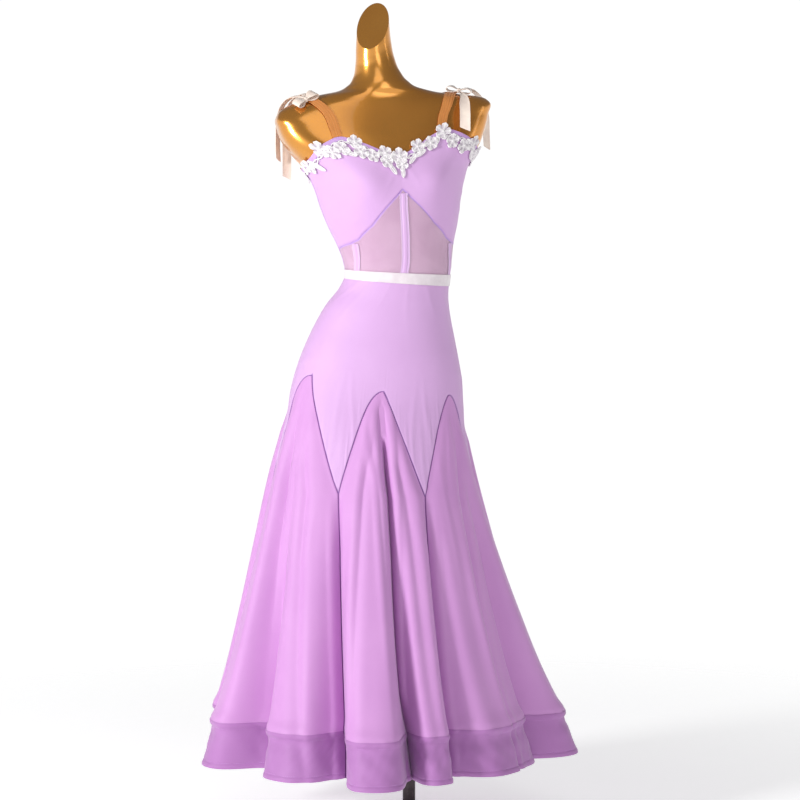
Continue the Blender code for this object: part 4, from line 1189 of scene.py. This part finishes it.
# Columns of a godet and rows of a hem band that carry stitches, and the
# height of the band's stitches over the skirt's cloth in millimetres.
SEAM_STITCH_COLUMNS = (3, -4)
HEM_STITCH_ROWS = ((8, 0.25), (-6, 0.5))


def godet_levels(godet):
    """Levels of the godet's rows, which curve up to its apex and run level below."""
    _, left_level = edge_points(godet, False)
    _, right_level = edge_points(godet, True)
    upper = left_level[:, None] + (right_level - left_level)[:, None] * ACROSS[None, :]
    last = upper[-1:]
    share = np.linspace(0, 1, 74)[1:, None]
    return np.concatenate((upper, last + (BAND_LEVEL - last) * share))


def make_godet(godet):
    """One godet with its hanging folds; its seam stitches' lines."""
    level = godet_levels(godet)
    points, normals = godet_face(godet, ACROSS, level)
    turn, _, _ = godet_spot(godet, ACROSS, level)
    crease = creases(turn, level, GODET_CREASES)[::-1]
    points, normals = points[::-1], normals[::-1]
    seam = edge_distance(points, ("left", "right"))
    far = SKIRT_FAR + crease - dip(seam, 1.0) - dip(edge_distance(points, ("low",)), 0.5, 1.2)
    yoke = "yoke_front_cloth" if godet in FRONT_GODETS else "yoke_back_cloth"
    cloth_piece(f"godet_{godet + 1}", (points, normals), NEAR, far, LILAC, [yoke], seam=seam)
    return [
        (lifted(points[:, side], normals[:, side], SKIRT_FAR + 0.02), normals[:, side])
        for side in SEAM_STITCH_COLUMNS]


def make_band(godet):
    """One hem band with pull lines, a rolled edge and a ridge at its seam; its stitches' lines."""
    level = BAND_ROWS[:, None] + 0 * ACROSS
    points, normals = godet_face(godet, ACROSS, level)
    seam = edge_distance(points, ("left", "right"))
    along, up = (values / MM for values in lengths(points))
    pull = np.sin((along * 0.9 + up * 0.75) * 0.16) + 0.6 * np.sin(along * 0.33 - up * 0.2)
    pull = pull * 0.45 * np.clip(up / 20, 0, 1)
    above = level - HEM_LEVEL
    rolled = 0.8 * np.exp(-((above - 4.5) / 3.6) ** 4) - 0.5 * bell(above, 9.6, 0.9)
    ridge = 1.5 * bell(BAND_LEVEL - level, 6.0, 5.0)
    far = SKIRT_FAR + 0.4 + pull + rolled + ridge - dip(seam, 1.0)
    far = far - dip(edge_distance(points, ("top",)), 0.6, 1.2)
    # The band's cloth is the lilac crepe darkened as painted shade.
    cloth_piece(
        f"band_{godet + 1}", (points, normals), NEAR, far, SHADED_HEM, [f"godet_{godet + 1}_cloth"],
        seam=seam)
    return [
        (lifted(points[row], normals[row], SKIRT_FAR + height), normals[row])
        for row, height in HEM_STITCH_ROWS]


def make_skirt():
    """Seven godets and their hem bands, with the stitches of both."""
    seams = []
    hems = []
    for godet in range(len(GODETS)):
        seams += make_godet(godet)
        hems += make_band(godet)
    stitches("godet_stitches", seams, SEWN)
    stitches("hem_stitches", hems, SEWN)


# Lace motifs: turn round the body, drop under the top edge and radius in
# millimetres; petals 5 is a flower, petals 1 a leaf with the given lean.
MOTIF_COLUMNS = ("turn", "drop", "radius", "petals", "lean")
FRONT_MOTIFS = [
    (-79, 7, 10, 1, 50), (-56, 15, 12, 1, -50), (-66, 8, 12, 5, 0), (-43.5, 4, 14, 5, 0),
    (-37.5, 20, 12, 5, 20), (-31, 22, 12, 5, 50), (-28.5, 33, 10, 1, -30), (-22.5, 6, 12, 5, 10),
    (-22, 24, 12, 5, 40), (-16.5, 23, 11, 5, 0), (-8.5, 4, 12, 5, 30), (-9, 21, 11, 5, 10),
    (-6, 32, 9, 1, -60), (0, 3, 14, 5, 15), (1, 19, 11, 5, 50), (1, 33, 9, 1, 90),
    (8.5, 19, 9, 1, 50), (12, 2, 12, 5, 0), (13.5, 18, 10, 1, 30), (20, 14, 12, 5, 40),
    (27, 4, 14, 5, 0), (24, 14, 8, 1, 80), (33, 21, 12, 5, 20), (41.5, 19, 12, 5, 50),
    (49.5, 4, 12, 5, 10), (54, 17, 9, 1, -40), (62, 9, 12, 5, 0), (73, 14, 10, 1, 30),
    (84, 8, 12, 5, 20),
]
# Drop, radius and petals of the motifs that repeat round the back.
BACK_MOTIFS = [(8, 12, 5), (15, 12, 5), (13, 10, 1)]
BACK_MOTIF_STEP = 12.0
STEM = {"drop": 11.0, "swing": 3.0, "pitch": 31.0}


def wrapped_lengths(first, last):
    """Turn against length round the body just under the neckline."""
    turns = np.arange(first, last + 0.25, 0.5)
    line = body_point(DRESS, turns, neckline(turns) - STEM["drop"])
    return turns, line_places(line) / MM


def lace_motifs(back):
    """The motifs of the front, or two flowers and a leaf by turns round the back."""
    if not back:
        return records(FRONT_MOTIFS, MOTIF_COLUMNS)
    rows = []
    for i in range(int((360 - 2 * SIDE_SEAM) // BACK_MOTIF_STEP)):
        drop, radius, petals = BACK_MOTIFS[i % len(BACK_MOTIFS)]
        rows.append((SIDE_SEAM + BACK_MOTIF_STEP * (i + 0.8), drop, radius, petals, (37 * i) % 180))
    return records(rows, MOTIF_COLUMNS)


def relief_part(radial, spokes, middle, radius_at, height_at, spot_to_face):
    """A closed round patch of lace about its own middle, with its outline, its relief and the painted light
    and shade of that relief.
    """
    share = np.concatenate(([0.015], np.linspace(0.08, 0.985, radial), [1.0]))[:, None]
    angle = np.linspace(0, 2 * math.pi, spokes, endpoint=False)[None, :]
    radius = radius_at(angle) * share
    x = radius * np.cos(angle)
    y = radius * np.sin(angle)
    # hollow here is the relief's painted lightness: 1 on raised lace and lower where painted shade fills
    # its hollows.
    height, hollow = height_at(share, angle)
    uv = np.stack((middle[0] + x, middle[1] + y), axis=-1) * MM
    points, normals, far, light, uv = (
        values[::-1] for values in (*spot_to_face(x, y), LACE_NEAR + height, hollow, uv))
    return wall_part(points, normals, LACE_NEAR, far, True, light, uv)


def flower_part(motif, middle, spot_to_face):
    """A five-petalled flower: cupped petals with corded edges round a knotted eye."""
    lean = math.radians(motif["lean"])
    size = motif["radius"] * 1.1

    def petal(angle):
        return np.abs(np.cos(2.5 * (angle - lean)))

    def radius_at(angle):
        return size * (0.68 + 0.36 * petal(angle) ** 0.5 + 0.03 * np.cos(15 * (angle - lean)))

    def height_at(share, angle):
        cord = bell(share, 0.93, 0.055)
        vein = bell(petal(angle), 1, 0.05) * np.clip((share - 0.25) / 0.1, 0, 1)
        split = bell(petal(angle), 0, 0.20) * np.clip((share - 0.3) / 0.2, 0, 1)
        eye = bell(share, 0, 0.17)
        ring = bell(share, 0.30, 0.05)
        cupped = np.clip((share - 0.35) / 0.65, 0, 1) * petal(angle)
        high = 0.8 + 0.8 * cord + 0.35 * vein + 2.0 * eye + 0.6 * ring + 1.1 * cupped - 0.9 * split
        # light is painted light and shade: lighter on the cords, veins, eye, ring and cups, darker in the
        # splits between petals.
        light = np.clip(0.35 + cord + 0.7 * vein + eye + 0.7 * ring + 0.35 * cupped - 1.5 * split, 0, 1)
        return np.maximum(high, 0.15), light

    return relief_part(13, 70, middle, radius_at, height_at, spot_to_face)


def leaf_part(motif, middle, spot_to_face):
    """A pointed leaf with a corded edge, a middle vein and slanting side veins."""
    lean = math.radians(motif["lean"])
    size = motif["radius"]

    def radius_at(angle):
        long = 1.2 * size
        wide = 0.50 * size
        return long * wide / np.hypot(wide * np.cos(angle - lean), long * np.sin(angle - lean))

    def height_at(share, angle):
        aside = share * np.sin(angle - lean)
        along = share * np.cos(angle - lean)
        cord = bell(share, 0.92, 0.07)
        vein = bell(aside, 0, 0.09)
        ribs = 0.5 + 0.5 * np.cos(2 * math.pi * (along * 3.2 - np.abs(aside) * 1.8))
        high = 0.7 + 0.8 * cord + 0.6 * vein + 0.25 * ribs
        # The second value is painted light and shade, lighter on the raised cord, vein and ribs.
        return high, np.clip(0.35 + cord + vein + 0.35 * ribs, 0, 1)

    return relief_part(9, 44, middle, radius_at, height_at, spot_to_face)


def cord_part(x, y, half, high, spot_to_face):
    """A narrow corded strip of lace along a line in the flat, with painted shade towards its edges."""
    slope = np.gradient(y, x)
    across = np.linspace(-1, 1, 7)[:, None]
    lie = np.sqrt(1 + slope ** 2)
    flat = (x - across * half * slope / lie, y + across * half / lie)
    points, normals = spot_to_face(*flat)
    rise = np.sqrt(np.clip(1 - across ** 2 * 0.9, 0, 1)) + 0 * x
    uv = np.stack(flat, axis=-1) * MM
    return wall_part(points, normals, LACE_NEAR, LACE_NEAR + high * rise, False, 0.35 + 0.65 * rise, uv)


def make_lace(name, first, last, back):
    """Lace edging: flowers and leaves on two wavy corded stems, with joining bars."""
    turns, places = wrapped_lengths(first, last)

    def spot_to_face(x, y):
        turn = np.interp(x, places, turns)
        return dress_face(turn, neckline(turn) + y)

    def motif_to_face(row):
        """From millimetres about a motif's middle to the dress, without any shear."""
        turn = row["turn"]
        level = neckline(turn) - row["drop"]
        per_degree = degree_length(turn, level)
        return lambda x, y: dress_face(turn + x / per_degree, level + y)

    parts = []
    for row in lace_motifs(back):
        middle = (float(np.interp(row["turn"], turns, places)), -row["drop"])
        make = flower_part if row["petals"] == 5 else leaf_part
        parts.append(make(row, middle, motif_to_face(row)))
    line = np.arange(places[0] + 6, places[-1] - 6, 1.4)
    for phase in (0.0, math.pi):
        wave = -STEM["drop"] + STEM["swing"] * np.sin(line * 2 * math.pi / STEM["pitch"] + phase)
        parts.append(cord_part(line, wave, 1.0, 1.2, spot_to_face))
    for start in np.arange(places[0] + 14, places[-1] - 16, 9.0):
        bar = np.linspace(start, start + 4.5, 8)
        rise = -STEM["drop"] - 3.5 + 7.0 * (bar - start) / 4.5
        parts.append(cord_part(bar, rise, 0.55, 0.8, spot_to_face))
    obj = stand_in(name, "guipure", parts, LACE)
    width = (places[-1] - places[0]) * MM
    area = 0.0
    for vertices, faces, _, _ in parts:
        a, b, c, d = (vertices[faces[:, i]] for i in range(4))
        area += float(np.sum(np.linalg.norm(np.cross(c - a, d - b), axis=1)) / 4)
    length = max(0.03, area / width * 1.02)
    area = min(area, width * length)


STRAP_COLUMNS = ("side", "foot_x", "top_x")
STRAPS = [("left", -108.0, -148.0), ("right", 97.0, 154.0)]
STRAP_WIDTH = 19.0
STRAP_NEAR = 2.4
STRAP_THICK = 1.1


def top_level(x):
    """Level at which the shoulder is as wide as x."""
    levels = np.linspace(1400, 1445, 200)
    widths = smooth(levels, DRESS["level"], DRESS["half"])
    return np.interp(np.abs(x), widths[::-1], levels[::-1])


def depth_share(row, x):
    """How much of a section's depth is left at its own x."""
    return np.clip(1 - np.abs(x / row["half"]) ** row["square"], 0, 1) ** (1 / row["square"])


def shoulder_point(x, level, behind):
    """Point of the form's surface at its own x and a level, front or back."""
    row = section_row(DRESS, level)
    depth = np.where(behind, row["back"], -row["front"])
    return placed(row, x, depth * depth_share(row, x))


def strap_foot(x, behind):
    """Level at which the strap meets the neckline, a little above it."""
    level = np.where(behind, 1293.0, 1350.0) + 0 * x
    for _ in range(6):
        row = section_row(DRESS, level)
        turn = np.degrees(np.arctan2(np.abs(x) / row["half"], depth_share(row, x)))
        level = neckline(np.where(behind, 180 - turn, turn)) + 0.5
    return level


def strap_surface(strap, along, across):
    """along runs 0 at the front neckline, 1 over the shoulder, 2 at the back."""
    behind = along > 1
    share = np.clip(np.where(behind, 2 - along, along), 0, 1)
    x = strap["foot_x"] + (strap["top_x"] - strap["foot_x"]) * share ** 1.4 + across
    foot = strap_foot(x, behind)
    level = foot + (top_level(x) - foot) * np.sin(share * math.pi / 2)
    return shoulder_point(x, level, behind)


def strap_face(strap, along, across):
    """Points and normals of the form under a strap."""
    along, across = paired(along, across)
    return faced(lambda a, b: strap_surface(strap, b, a), across, along, 0.5, 0.01)


# Half the ribbon's thickness, and half its width at a bow's middle and in its loops.
BOW_HALF_THICK = 0.5
PINCHED_HALF = 3.5
LOOP_HALF = 11.0
# The knot's size about its own middle, which is lifted off the strap.
KNOT = {"half_across": 2.75, "half_thick": 4.3, "half_length": 4.7, "lift": 4.6}
TAIL_HALF_AT_KNOT = 1.8
LOOP_OUTLINE = [
    (3.0, 3.0), (7.0, 1.5), (13.0, 0.9), (19.0, 1.1), (23.0, 2.6), (24.5, 5.2), (23.0, 8.1),
    (19.0, 10.3), (13.0, 10.5), (7.0, 8.4), (3.0, 6.2)]
BOW_COLUMNS = ("side", "along", "across", "turn")
BOWS = [("left", 0.79, -12.0, -6.0), ("right", 0.84, 12.0, 8.0)]


def of_side(rows, columns, side):
    """The record of one side of the dress."""
    return next(record for record in records(rows, columns) if record["side"] == side)


def bow_frame(bow):
    """Middle of a bow on its strap, with its sideways, upward and outward axes."""
    strap = of_side(STRAPS, STRAP_COLUMNS, bow["side"])
    middle, normal = strap_face(strap, bow["along"], bow["across"])
    up = unit(strap_surface(strap, np.float64(bow["along"] + 0.01), np.float64(bow["across"])) - middle)
    side = np.cross(up, normal)
    turn = math.radians(bow["turn"])
    sideways = side * math.cos(turn) + up * math.sin(turn)
    upward = up * math.cos(turn) - side * math.sin(turn)
    return lifted(middle, normal, STRAP_NEAR + STRAP_THICK), sideways, upward, normal


# Tails of the bows: each leaves its knot at the back (1) or the front (-1),
# then follows its own spots, in millimetres in the dress's place.
TAIL_COLUMNS = ("name", "side", "leaves", "lift", "half_width", "width_turn")
TAILS = [
    ("bow_left_tail_a", "left", 1, 2.6, 8.5, 0.0),
    ("bow_left_tail_b", "left", 1, 7.4, 8.5, 50.0),
    ("bow_right_tail_a", "right", -1, 4.8, 10.0, -8.0),
    ("bow_right_tail_b", "right", 1, 4.8, 8.5, 30.0),
]
TAIL_SPOTS = {
    "bow_left_tail_a": [
        (-206, -2, 1428), (-213, 28, 1422), (-220, 54, 1409), (-225, 74, 1385), (-226, 80, 1350),
        (-226, 81, 1310), (-226, 81, 1267)],
    "bow_left_tail_b": [
        (-224, -2, 1424), (-235, 22, 1417), (-243, 44, 1402), (-247, 58, 1378), (-247, 64, 1350),
        (-247, 65, 1325), (-246, 65, 1302)],
    "bow_right_tail_a": [
        (100, -38, 1424), (98, -52, 1410), (96.5, -62, 1394), (95.5, -67, 1378), (95, -69, 1361)],
    "bow_right_tail_b": [
        (118, 12, 1441), (140, 40, 1434), (160, 64, 1417), (171, 79, 1392), (174, 84, 1352),
        (175, 84, 1326)],
}


def make_straps():
    """Elastic shoulder straps: corded along their length, with a firm border."""
    along = np.concatenate(
        (np.linspace(0.0, 0.9, 80), np.linspace(0.905, 1.095, 50), np.linspace(1.1, 2.0, 80)))[:, None]
    across = np.linspace(-STRAP_WIDTH / 2, STRAP_WIDTH / 2, 49)
    cord = 0.5 + 0.5 * np.cos(across * 2 * math.pi / STRAP_CORD)
    border = np.clip((STRAP_WIDTH / 2 - np.abs(across)) / 0.8, 0, 1) ** 0.5
    thick = (STRAP_THICK * 0.55 + 0.55 * cord) * (0.5 + 0.5 * border) + 0 * along
    for strap in records(STRAPS, STRAP_COLUMNS):
        cloth_piece(
            "strap_" + strap["side"], strap_face(strap, along, across), STRAP_NEAR, STRAP_NEAR + thick,
            ELASTIC, ["form_skin"])


def curve_through(spots, count, closed=False):
    """Evenly parted smooth points through the spots, which may be of any width."""
    spots = np.array(spots, dtype=float)
    if closed:
        spots = np.concatenate((spots[-3:], spots, spots[:4]))
    places = line_places(spots[:, :3])
    first = places[3] if closed else places[0]
    last = places[-4] if closed else places[-1]
    wanted = np.linspace(first, last, count, endpoint=not closed)
    return np.stack([smooth(wanted, places, spots[:, i]) for i in range(spots.shape[1])], axis=1)


def ribbon_grid(centres, width_axis, half_widths, closed, cup, slant):
    """Points and normals of a ribbon from its centre line and the way its width runs."""
    if closed:
        along = np.roll(centres, -1, axis=0) - np.roll(centres, 1, axis=0)
    else:
        along = np.gradient(centres, axis=0)
    along = unit(along)
    normals = unit(np.cross(along, width_axis))
    across = np.linspace(-1, 1, 17)[:, None, None]
    half = half_widths[None, :, None] * MM
    share = np.linspace(0, 1, len(centres))[None, :, None]
    lift = cup * MM * (across ** 2 - 0.4)
    end = slant * MM * across * np.clip((share - 0.82) / 0.18, 0, 1)
    points = centres[None] + width_axis[None] * across * half + normals[None] * lift + along[None] * end
    return points, np.broadcast_to(normals, points.shape), across[..., 0]


def bow_cloth(name, centres, width_axis, half_widths, closed, cup, slant, rests_on):
    """A loop or tail of ribbon, pleated where it is pinched, with firm edges."""
    points, normals, across = ribbon_grid(centres, width_axis, half_widths, closed, cup, slant)
    pleats = 0.30 * np.cos(across * 2.5 * math.pi) * bell(half_widths, PINCHED_HALF, 3.0)
    edge = 0.18 * bell(np.abs(across), 0.94, 0.05)
    cloth_piece(
        name, (points, normals), pleats - BOW_HALF_THICK, pleats + BOW_HALF_THICK * 0.8 + edge,
        BOW_SATIN, rests_on, ring=closed)


def make_loops(bow):
    """The two loops of a bow, narrow at the knot and full width further out."""
    middle, sideways, upward, outward = bow_frame(bow)
    flat = np.array(LOOP_OUTLINE)
    opened = np.clip((flat[:, :1] - 3) / 9, 0, 1)
    half = PINCHED_HALF + (LOOP_HALF - PINCHED_HALF) * opened
    for label, way in (("a", -1.0), ("b", 1.0)):
        spots = middle + (way * sideways * flat[:, :1] + outward * flat[:, 1:2]) * MM
        line = curve_through(np.concatenate((spots, half), axis=1), 96, closed=True)
        axis = np.broadcast_to(upward, (len(line), 3))
        bow_cloth(
            f"bow_{bow['side']}_loop_{label}", line[:, :3], axis, line[:, 3], True, 0.0, 0.0,
            [f"strap_{bow['side']}_cloth"])


def make_knot(bow):
    """The knot of a bow: a wrapped barrel with rounded ends and shallow turns."""
    middle, sideways, upward, outward = bow_frame(bow)
    ring = np.linspace(0, 2 * math.pi, 48, endpoint=False)[None, :]
    share = np.linspace(-1, 1, 29)[:, None]
    swell = np.clip(1 - np.abs(share) ** 7, 0, 1) ** 0.5 * 0.97 + 0.03
    swell = swell * (1 + 0.035 * np.cos(share * 3.5 * math.pi))
    swell = swell * (np.abs(np.cos(ring)) ** 3 + np.abs(np.sin(ring)) ** 3) ** (-1 / 3)
    aside = KNOT["half_across"] * swell * np.cos(ring)
    out = KNOT["lift"] + KNOT["half_thick"] * swell * np.sin(ring)
    up = KNOT["half_length"] * np.sign(share) * np.abs(share) ** 0.9 + 0 * ring
    away = (sideways * aside[..., None] + outward * out[..., None] + upward * up[..., None]) * MM
    points = middle + away
    away = away - outward * KNOT["lift"] * MM
    normals = unit(away - upward * np.sum(away * upward, axis=-1, keepdims=True) * 0.6)
    uv = np.stack((ring * 3.5 + 0 * share, share * KNOT["half_length"] + 0 * ring), axis=-1) * MM
    part = wall_part(points, normals, -0.6, 0.0, True, None, uv)
    obj = stand_in(f"bow_{bow['side']}_knot", "cloth", [part], BOW_SATIN)


def make_tail(tail):
    """A tail of a bow: out of the knot, over the shoulder, then straight down."""
    middle, sideways, upward, outward = bow_frame(of_side(BOWS, BOW_COLUMNS, tail["side"]))
    start = middle + (upward * tail["leaves"] * 5.0 + outward * tail["lift"]) * MM
    spots = np.array([tuple(start / MM)] + TAIL_SPOTS[tail["name"]]) * MM
    turn = math.radians(tail["width_turn"])
    hung = np.array((math.cos(turn), math.sin(turn), 0.0))
    share = np.clip(np.arange(len(spots)) / 2, 0, 1)[:, None]
    axis = unit(sideways * (1 - share) + hung * share)
    half = np.full((len(spots), 1), tail["half_width"])
    half[0] = TAIL_HALF_AT_KNOT
    half[1] = tail["half_width"] * 0.7
    line = curve_through(np.concatenate((spots, axis, half), axis=1), 90)
    half_widths = np.clip(line[:, 6], TAIL_HALF_AT_KNOT, tail["half_width"])
    bow_cloth(
        tail["name"], line[:, :3], unit(line[:, 3:6]), half_widths, False, 1.1, 4.0,
        [f"strap_{tail['side']}_cloth"])


def make_bows():
    """A ribbon bow on each strap: two loops, a wrapped knot and two tails."""
    for bow in records(BOWS, BOW_COLUMNS):
        make_loops(bow)
        make_knot(bow)
    for tail in records(TAILS, TAIL_COLUMNS):
        make_tail(tail)


make_form()
make_stand()
make_bodice()
bust_seam_stitches()
make_strips()
make_waist_ribbon()
make_yoke()
make_skirt()
make_lace("lace_front", -SIDE_SEAM, SIDE_SEAM, False)
make_lace("lace_back", SIDE_SEAM, 360 - SIDE_SEAM, True)
make_straps()
make_bows()


LAMP_COLUMNS = ("name", "shape", "place", "aim", "size", "power")
LAMPS = [
    ("key", "DISK", (-3.7, -1.9, 2.0), (0.0, 0.0, 0.85), 0.9, 140.0),
    ("strip", "RECTANGLE", (3.4, -1.1, 1.9), (0.0, 0.0, 1.3), 0.3, 3.5),
    ("front", "DISK", (0.75, -3.9, 2.75), (0.0, 0.0, 1.3), 1.5, 11.0),
    ("high", "DISK", (-0.5, -2.5, 3.8), (0.0, 0.0, 1.4), 1.8, 10.0),
]
STRIP_HEIGHT = 2.2
FLOOR_RADIUS = 4.0
# The camera stands to the left of the front and looks a little down.
CAMERA = {"turn": 12, "pitch": 4.6, "distance": 5.64, "aside": -0.0176, "height": 1.29, "lens": 130.7}


def floor_look(tools):
    """Near white, fading out away from the stand."""
    reach = tools.make("ShaderNodeVectorMath", [own_place(tools)], output=1, operation="LENGTH")
    fade = tools.make("ShaderNodeMapRange", {0: reach, 1: 0.5, 2: 2.6}, interpolation_type="SMOOTHSTEP")
    return {
        "Base Color": noise(tools, 3.0).mixed(colour(240, 240, 240), colour(244, 244, 244)),
        "Alpha": 1.0 - fade,
    }


def make_floor():
    """A pale round floor that shines a little, so that it reads as white."""
    angles = np.linspace(0, 2 * math.pi, 96, endpoint=False)
    ring = [(FLOOR_RADIUS * math.cos(a), FLOOR_RADIUS * math.sin(a), 0.0) for a in angles]
    data = bpy.data.meshes.new("studio_floor")
    data.from_pydata(ring, [], [tuple(range(len(ring)))])
    data.materials.append(material(
        "studio_floor", floor_look, Roughness=0.9, Emission_Color=(1.0, 1.0, 1.0, 1.0),
        Emission_Strength=0.52))
    added("studio_floor", data)


def make_sky():
    """White surroundings that are bright low down and dim above."""
    world = bpy.data.worlds.new("studio")
    bpy.context.scene.world = world
    world.use_nodes = True
    tools = Wire(world.node_tree)
    up = tools.make("ShaderNodeSeparateXYZ", [own_place(tools, "Generated")], output=2)
    sky = up.clamped(0.10, 0.34).mixed((1.03, 1.03, 1.03, 1.0), (0.20, 0.20, 0.21, 1.0))
    background = world.node_tree.nodes["Background"]
    world.node_tree.links.new(sky.socket, background.inputs["Color"])
    background.inputs["Strength"].default_value = 1.0


def facing(way):
    """Rotation of a lamp or camera that looks along a direction."""
    return way.to_track_quat("-Z", "Y").to_euler()


def make_lamps():
    """Soft light, strongest from the left."""
    for lamp in records(LAMPS, LAMP_COLUMNS):
        light = bpy.data.lights.new(lamp["name"], "AREA")
        light.shape = lamp["shape"]
        light.size = lamp["size"]
        light.size_y = STRIP_HEIGHT
        light.energy = lamp["power"]
        obj = added(lamp["name"], light)
        obj.location = lamp["place"]
        obj.rotation_euler = facing(Vector(lamp["aim"]) - Vector(lamp["place"]))


def make_camera():
    """The photo's view."""
    turn = math.radians(CAMERA["turn"])
    pitch = math.radians(CAMERA["pitch"])
    ahead = Vector((math.sin(turn), math.cos(turn), 0))
    right = Vector((math.cos(turn), -math.sin(turn), 0))
    up = Vector((0, 0, 1))
    camera = bpy.data.cameras.new("camera")
    camera.sensor_width = 36.0
    camera.lens = CAMERA["lens"]
    obj = added("camera", camera)
    obj.location = right * CAMERA["aside"] - ahead * CAMERA["distance"] + up * CAMERA["height"]
    obj.rotation_euler = facing(ahead * math.cos(pitch) - up * math.sin(pitch))
    bpy.context.scene.camera = obj
    bpy.context.scene.view_settings.view_transform = "Standard"


make_floor()
make_sky()
make_lamps()
make_camera()
